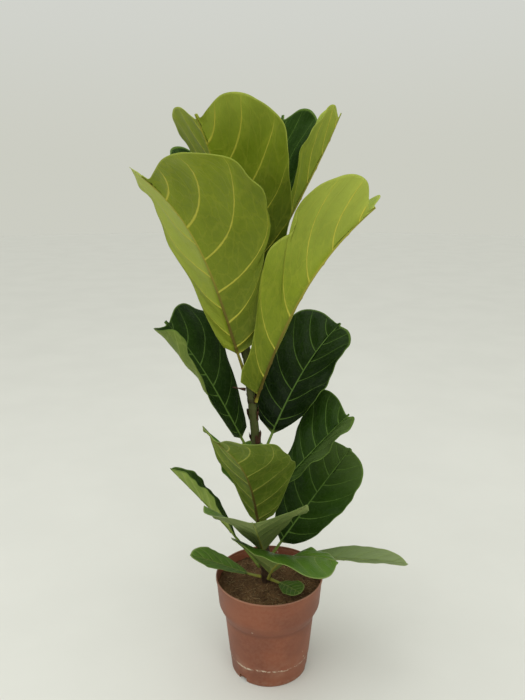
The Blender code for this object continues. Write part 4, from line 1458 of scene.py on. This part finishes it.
    def vein_distances(self, sheet: np.ndarray, ranks: np.ndarray,
                       middle: int) -> tuple[np.ndarray, np.ndarray]:
        """Measure how far each point is from the nearest side vein of its own half.

        Args:
            sheet: The sheet's points.
            ranks: Ranks of its rows.
            middle: The midrib's column.

        Returns:
            Distances in metres, and shares from 0 on a vein to 1 half way to the next one.
        """
        distance = np.full(sheet.shape[:2], 1.0)
        between = np.zeros(sheet.shape[:2])
        for columns, phase in ((slice(0, middle), RIGHT_PHASE), (slice(middle, None), 0.0)):
            offset = np.abs((ranks - phase + 0.5) % 1.0 - 0.5)
            between[:, columns] = (2.0 * offset)[:, None]
            for number in range(1, len(VEIN_STARTS) - 1):
                row = int(np.argmin(np.abs(ranks - number - phase)))
                gap = np.linalg.norm(sheet[:, columns] - sheet[row, columns], axis=-1) * 0.8
                distance[:, columns] = np.minimum(distance[:, columns], gap)
        return distance, between

    def swell(self, sheet: np.ndarray, x: np.ndarray, between: np.ndarray, share: np.ndarray) -> np.ndarray:
        """How far the blade stands up between its veins, with slow unevenness besides."""
        arch = np.sin(math.pi * np.clip(share, 0, 1)) ** 0.7
        pillow = self.shape.pucker * np.sin(0.5 * math.pi * between) ** 2 * arch
        slow = np.zeros(share.shape)
        for row in range(sheet.shape[0]):
            for column in range(sheet.shape[1]):
                spot = Vector(sheet[row, column]) * 22.0 + Vector((self.seed * 3.7, 0.0, 0.0))
                slow[row, column] = noise.noise(spot)
        return pillow + self.unevenness * slow * np.clip(np.abs(x) / 0.02, 0, 1)

    def skins(self, sheet: np.ndarray, normal: np.ndarray, x: np.ndarray, distance: np.ndarray,
              share: np.ndarray) -> tuple[np.ndarray, np.ndarray]:
        """Give the sheet its upper and lower skin.

        Args:
            sheet: The sheet's points.
            normal: Upward directions there.
            x: Flat places to the left.
            distance: Distance from the nearest side vein.
            share: Share of the way from the midrib to the margin.

        Returns:
            Points of the upper and of the lower skin.
        """
        size = min(1.0, self.shape.length / 0.2)
        thick = (self.thickness + (self.margin - self.thickness) * share ** 3) / 2
        thick[-1] = self.margin / 2
        fade = np.linspace(1.0, 0.25, len(x))[:, None] * np.minimum(1.0, np.abs(x[:, :1]) / 0.010)
        rib = np.maximum(0.0, 1 - (np.abs(x) / 0.0026) ** 2) * fade
        ridge = np.maximum(0.0, 1 - distance / 0.0024) * (1 - 0.75 * share) * size
        upper = sheet + normal * (thick + 0.0004 * rib - 0.00018 * ridge)[..., None]
        lower = sheet - normal * (thick + self.rib_height * size * rib + self.vein_height * ridge)[..., None]
        return upper, lower

    def stalk(self, midrib: Midrib, columns: int) -> tuple[list, dict[str, np.ndarray]]:
        """Lay the stalk's rings out.

        Args:
            midrib: The leaf's line.
            columns: Points on each side of a ring.

        Returns:
            The rings, and the marks their points carry.
        """
        over = np.linspace(168, 12, columns)
        angles = np.radians(np.concatenate([over, -over[::-1]]))
        rings = []
        for number in range(self.stalk_rings):
            share = number / (self.stalk_rings - 1)
            point, left, up = midrib.frame(np.array(self.shape.stalk * 0.9 * share))
            radius = self.stalk_radius * (1.0 - 0.24 * share + 0.12 * bell(share, 0.0, 0.12))
            groove = 1.0 - 0.16 * np.exp(-((angles - math.pi / 2) / 0.5) ** 2)
            rings.append([point + radius * slot * (math.cos(angle) * left + math.sin(angle) * up)
                          for angle, slot in zip(angles, groove)])
        ones = np.ones((self.stalk_rings, 2 * columns))
        fade = np.clip(np.linspace(1.6, 0.0, self.stalk_rings), 0, 1)[:, None]
        under = np.repeat((np.sin(angles) < 0).astype(float)[None, :], self.stalk_rings, 0)
        return rings, {"stalk": ones * np.maximum(fade, 0.6), "under": under, "vein_distance": 0.02 * ones,
                       "margin_distance": 0.02 * ones}


# ---------------------------------------------------------------------------------------------- studio


@dataclass
class Studio:
    """Floor, lights and camera."""

    camera_place: tuple[float, float, float] = (0.0, -0.97, 0.78)
    camera_tilt: float = 75.7
    lens: float = 35.0
    shift: float = -0.0097
    world: Colour = tint(226, 228, 222)
    horizon: Colour = tint(219, 220, 209)
    world_strength: float = 0.85
    mirrored: float = 0.35
    floor_radius: float = 9.0
    daylight_spread: float = 80.0

    def build(self) -> None:
        """Set everything up."""
        bpy.ops.object.select_all(action="DESELECT")
        bpy.ops.mesh.primitive_circle_add(vertices=96, radius=self.floor_radius, fill_type="NGON",
                                          location=(0.0, 0.0, -0.0002))
        floor = Bench.named("floor")
        Bench.apply(floor)
        floor.data.materials.append(FloorFinish().build())
        self.shine("overhead", "AREA", (-0.35, -0.35, 2.3), (0.0, 0.0, 0.4), 12.0, size=1.8)
        self.shine("front", "AREA", (0.9, -1.7, 1.5), (0.0, 0.0, 0.5), 7.0, size=1.2)
        self.shine("window", "SUN", (-0.3, -0.45, 1.0), (0.0, 0.0, 0.0), 1.1,
                   angle=math.radians(self.daylight_spread))
        world = bpy.data.worlds.new("soft_room")
        world.use_nodes = True
        background = world.node_tree.nodes["Background"]
        board = Board(world.node_tree)
        place = board.add("ShaderNodeTexCoord").outputs["Generated"]
        sky = board.blend(board.fade(board.up(place), 0.0, 0.30), self.horizon, self.world)
        board.feed(background.inputs["Color"], sky)
        gloss = board.add("ShaderNodeLightPath").outputs["Is Glossy Ray"]
        dimming = self.world_strength * (self.mirrored - 1.0)
        board.feed(background.inputs["Strength"], board.line(gloss, dimming, self.world_strength))
        scene = bpy.context.scene
        scene.world = world
        scene.view_settings.view_transform = "Standard"
        data = bpy.data.cameras.new("camera")
        data.lens = self.lens
        data.sensor_width = 36.0
        data.shift_x = self.shift
        data.clip_start = 0.01
        camera = bpy.data.objects.new("camera", data)
        camera.location = self.camera_place
        camera.rotation_euler = (math.radians(self.camera_tilt), 0.0, 0.0)
        scene.collection.objects.link(camera)
        scene.camera = camera

    @staticmethod
    def shine(name: str, kind: str, place: tuple, target: tuple, power: float, **settings: float) -> None:
        """Add one soft light that points at a target.

        Args:
            name: The light's name.
            kind: AREA for a square lamp, or SUN for even light that comes from one direction.
            place: Where it hangs.
            target: Where it points.
            power: How strong it is.
            settings: Its size or its spread.
        """
        data = bpy.data.lights.new(name, kind)
        data.energy = power
        for label, value in settings.items():
            setattr(data, label, value)
        light = bpy.data.objects.new(name, data)
        light.location = place
        aim = Vector(target) - Vector(place)
        light.rotation_euler = aim.to_track_quat("-Z", "Y").to_euler()
        bpy.context.scene.collection.objects.link(light)


def main() -> None:
    """Build every piece of the plant, dress it and set up the studio."""
    for effect in (Effects.veins, Effects.mottle, Effects.marks):
        effect()
    pot = Pot()
    stem = Stem()
    soil = Soil(pot, stem)
    Bench.hand_in(pot.build(), PlasticFinish().build(), Slot.POT, "pot")
    peat = EarthFinish("peaty_soil", tint(68, 50, 31), tint(128, 98, 66), tint(168, 142, 104)).build()
    crumbs = EarthFinish("soil_crumbs", tint(74, 53, 33), tint(134, 105, 70), tint(176, 152, 114)).build()
    straw = EarthFinish("pale_fibre", tint(150, 126, 88), tint(186, 164, 122), tint(110, 86, 56)).build()
    Bench.hand_in(soil.bed(), peat, Slot.SOIL, "potting_soil")
    Bench.hand_in(soil.clods(), crumbs, Slot.SOIL)
    Bench.hand_in(soil.fibres(), straw, Slot.SOIL)
    bark = BarkFinish("stem_bark", tint(84, 66, 44), tint(74, 86, 38), tint(48, 32, 22)).build()
    Bench.hand_in(stem.build([leaf.node for leaf in LEAVES]), bark, Slot.STEM, "stem")
    papery = BarkFinish("papery_scale", tint(86, 54, 34), tint(72, 44, 28), tint(44, 28, 20)).build()
    bud = BarkFinish("bud_skin", tint(130, 116, 52), tint(138, 140, 62), tint(96, 70, 40), rough=0.5).build()
    Bench.hand_in(stem.bud(), bud, Slot.BUD, "terminal_bud")
    for name, height, side, length in stem.stubs:
        Bench.hand_in(stem.stub(name, height, side, length), papery, Slot.SCALE, name)
    rng = random.Random(5)
    for number, height in enumerate(stem.sheath_heights):
        Bench.hand_in(stem.sheath(number, height, rng), papery, Slot.SCALE)
    skins = {finish.name: finish.build() for finish in (YOUNG, DARK, LOW, CENTRE)}
    for number, shape in enumerate(LEAVES):
        blade = Leaf(shape, stem, number).build()
        Bench.hand_in(blade, skins[shape.finish.name], shape.finish.slot, "leaf_" + shape.name)
    Studio().build()


if __name__ == "__main__":
    logging.basicConfig(level=logging.INFO, format="%(name)s: %(message)s")
    main()
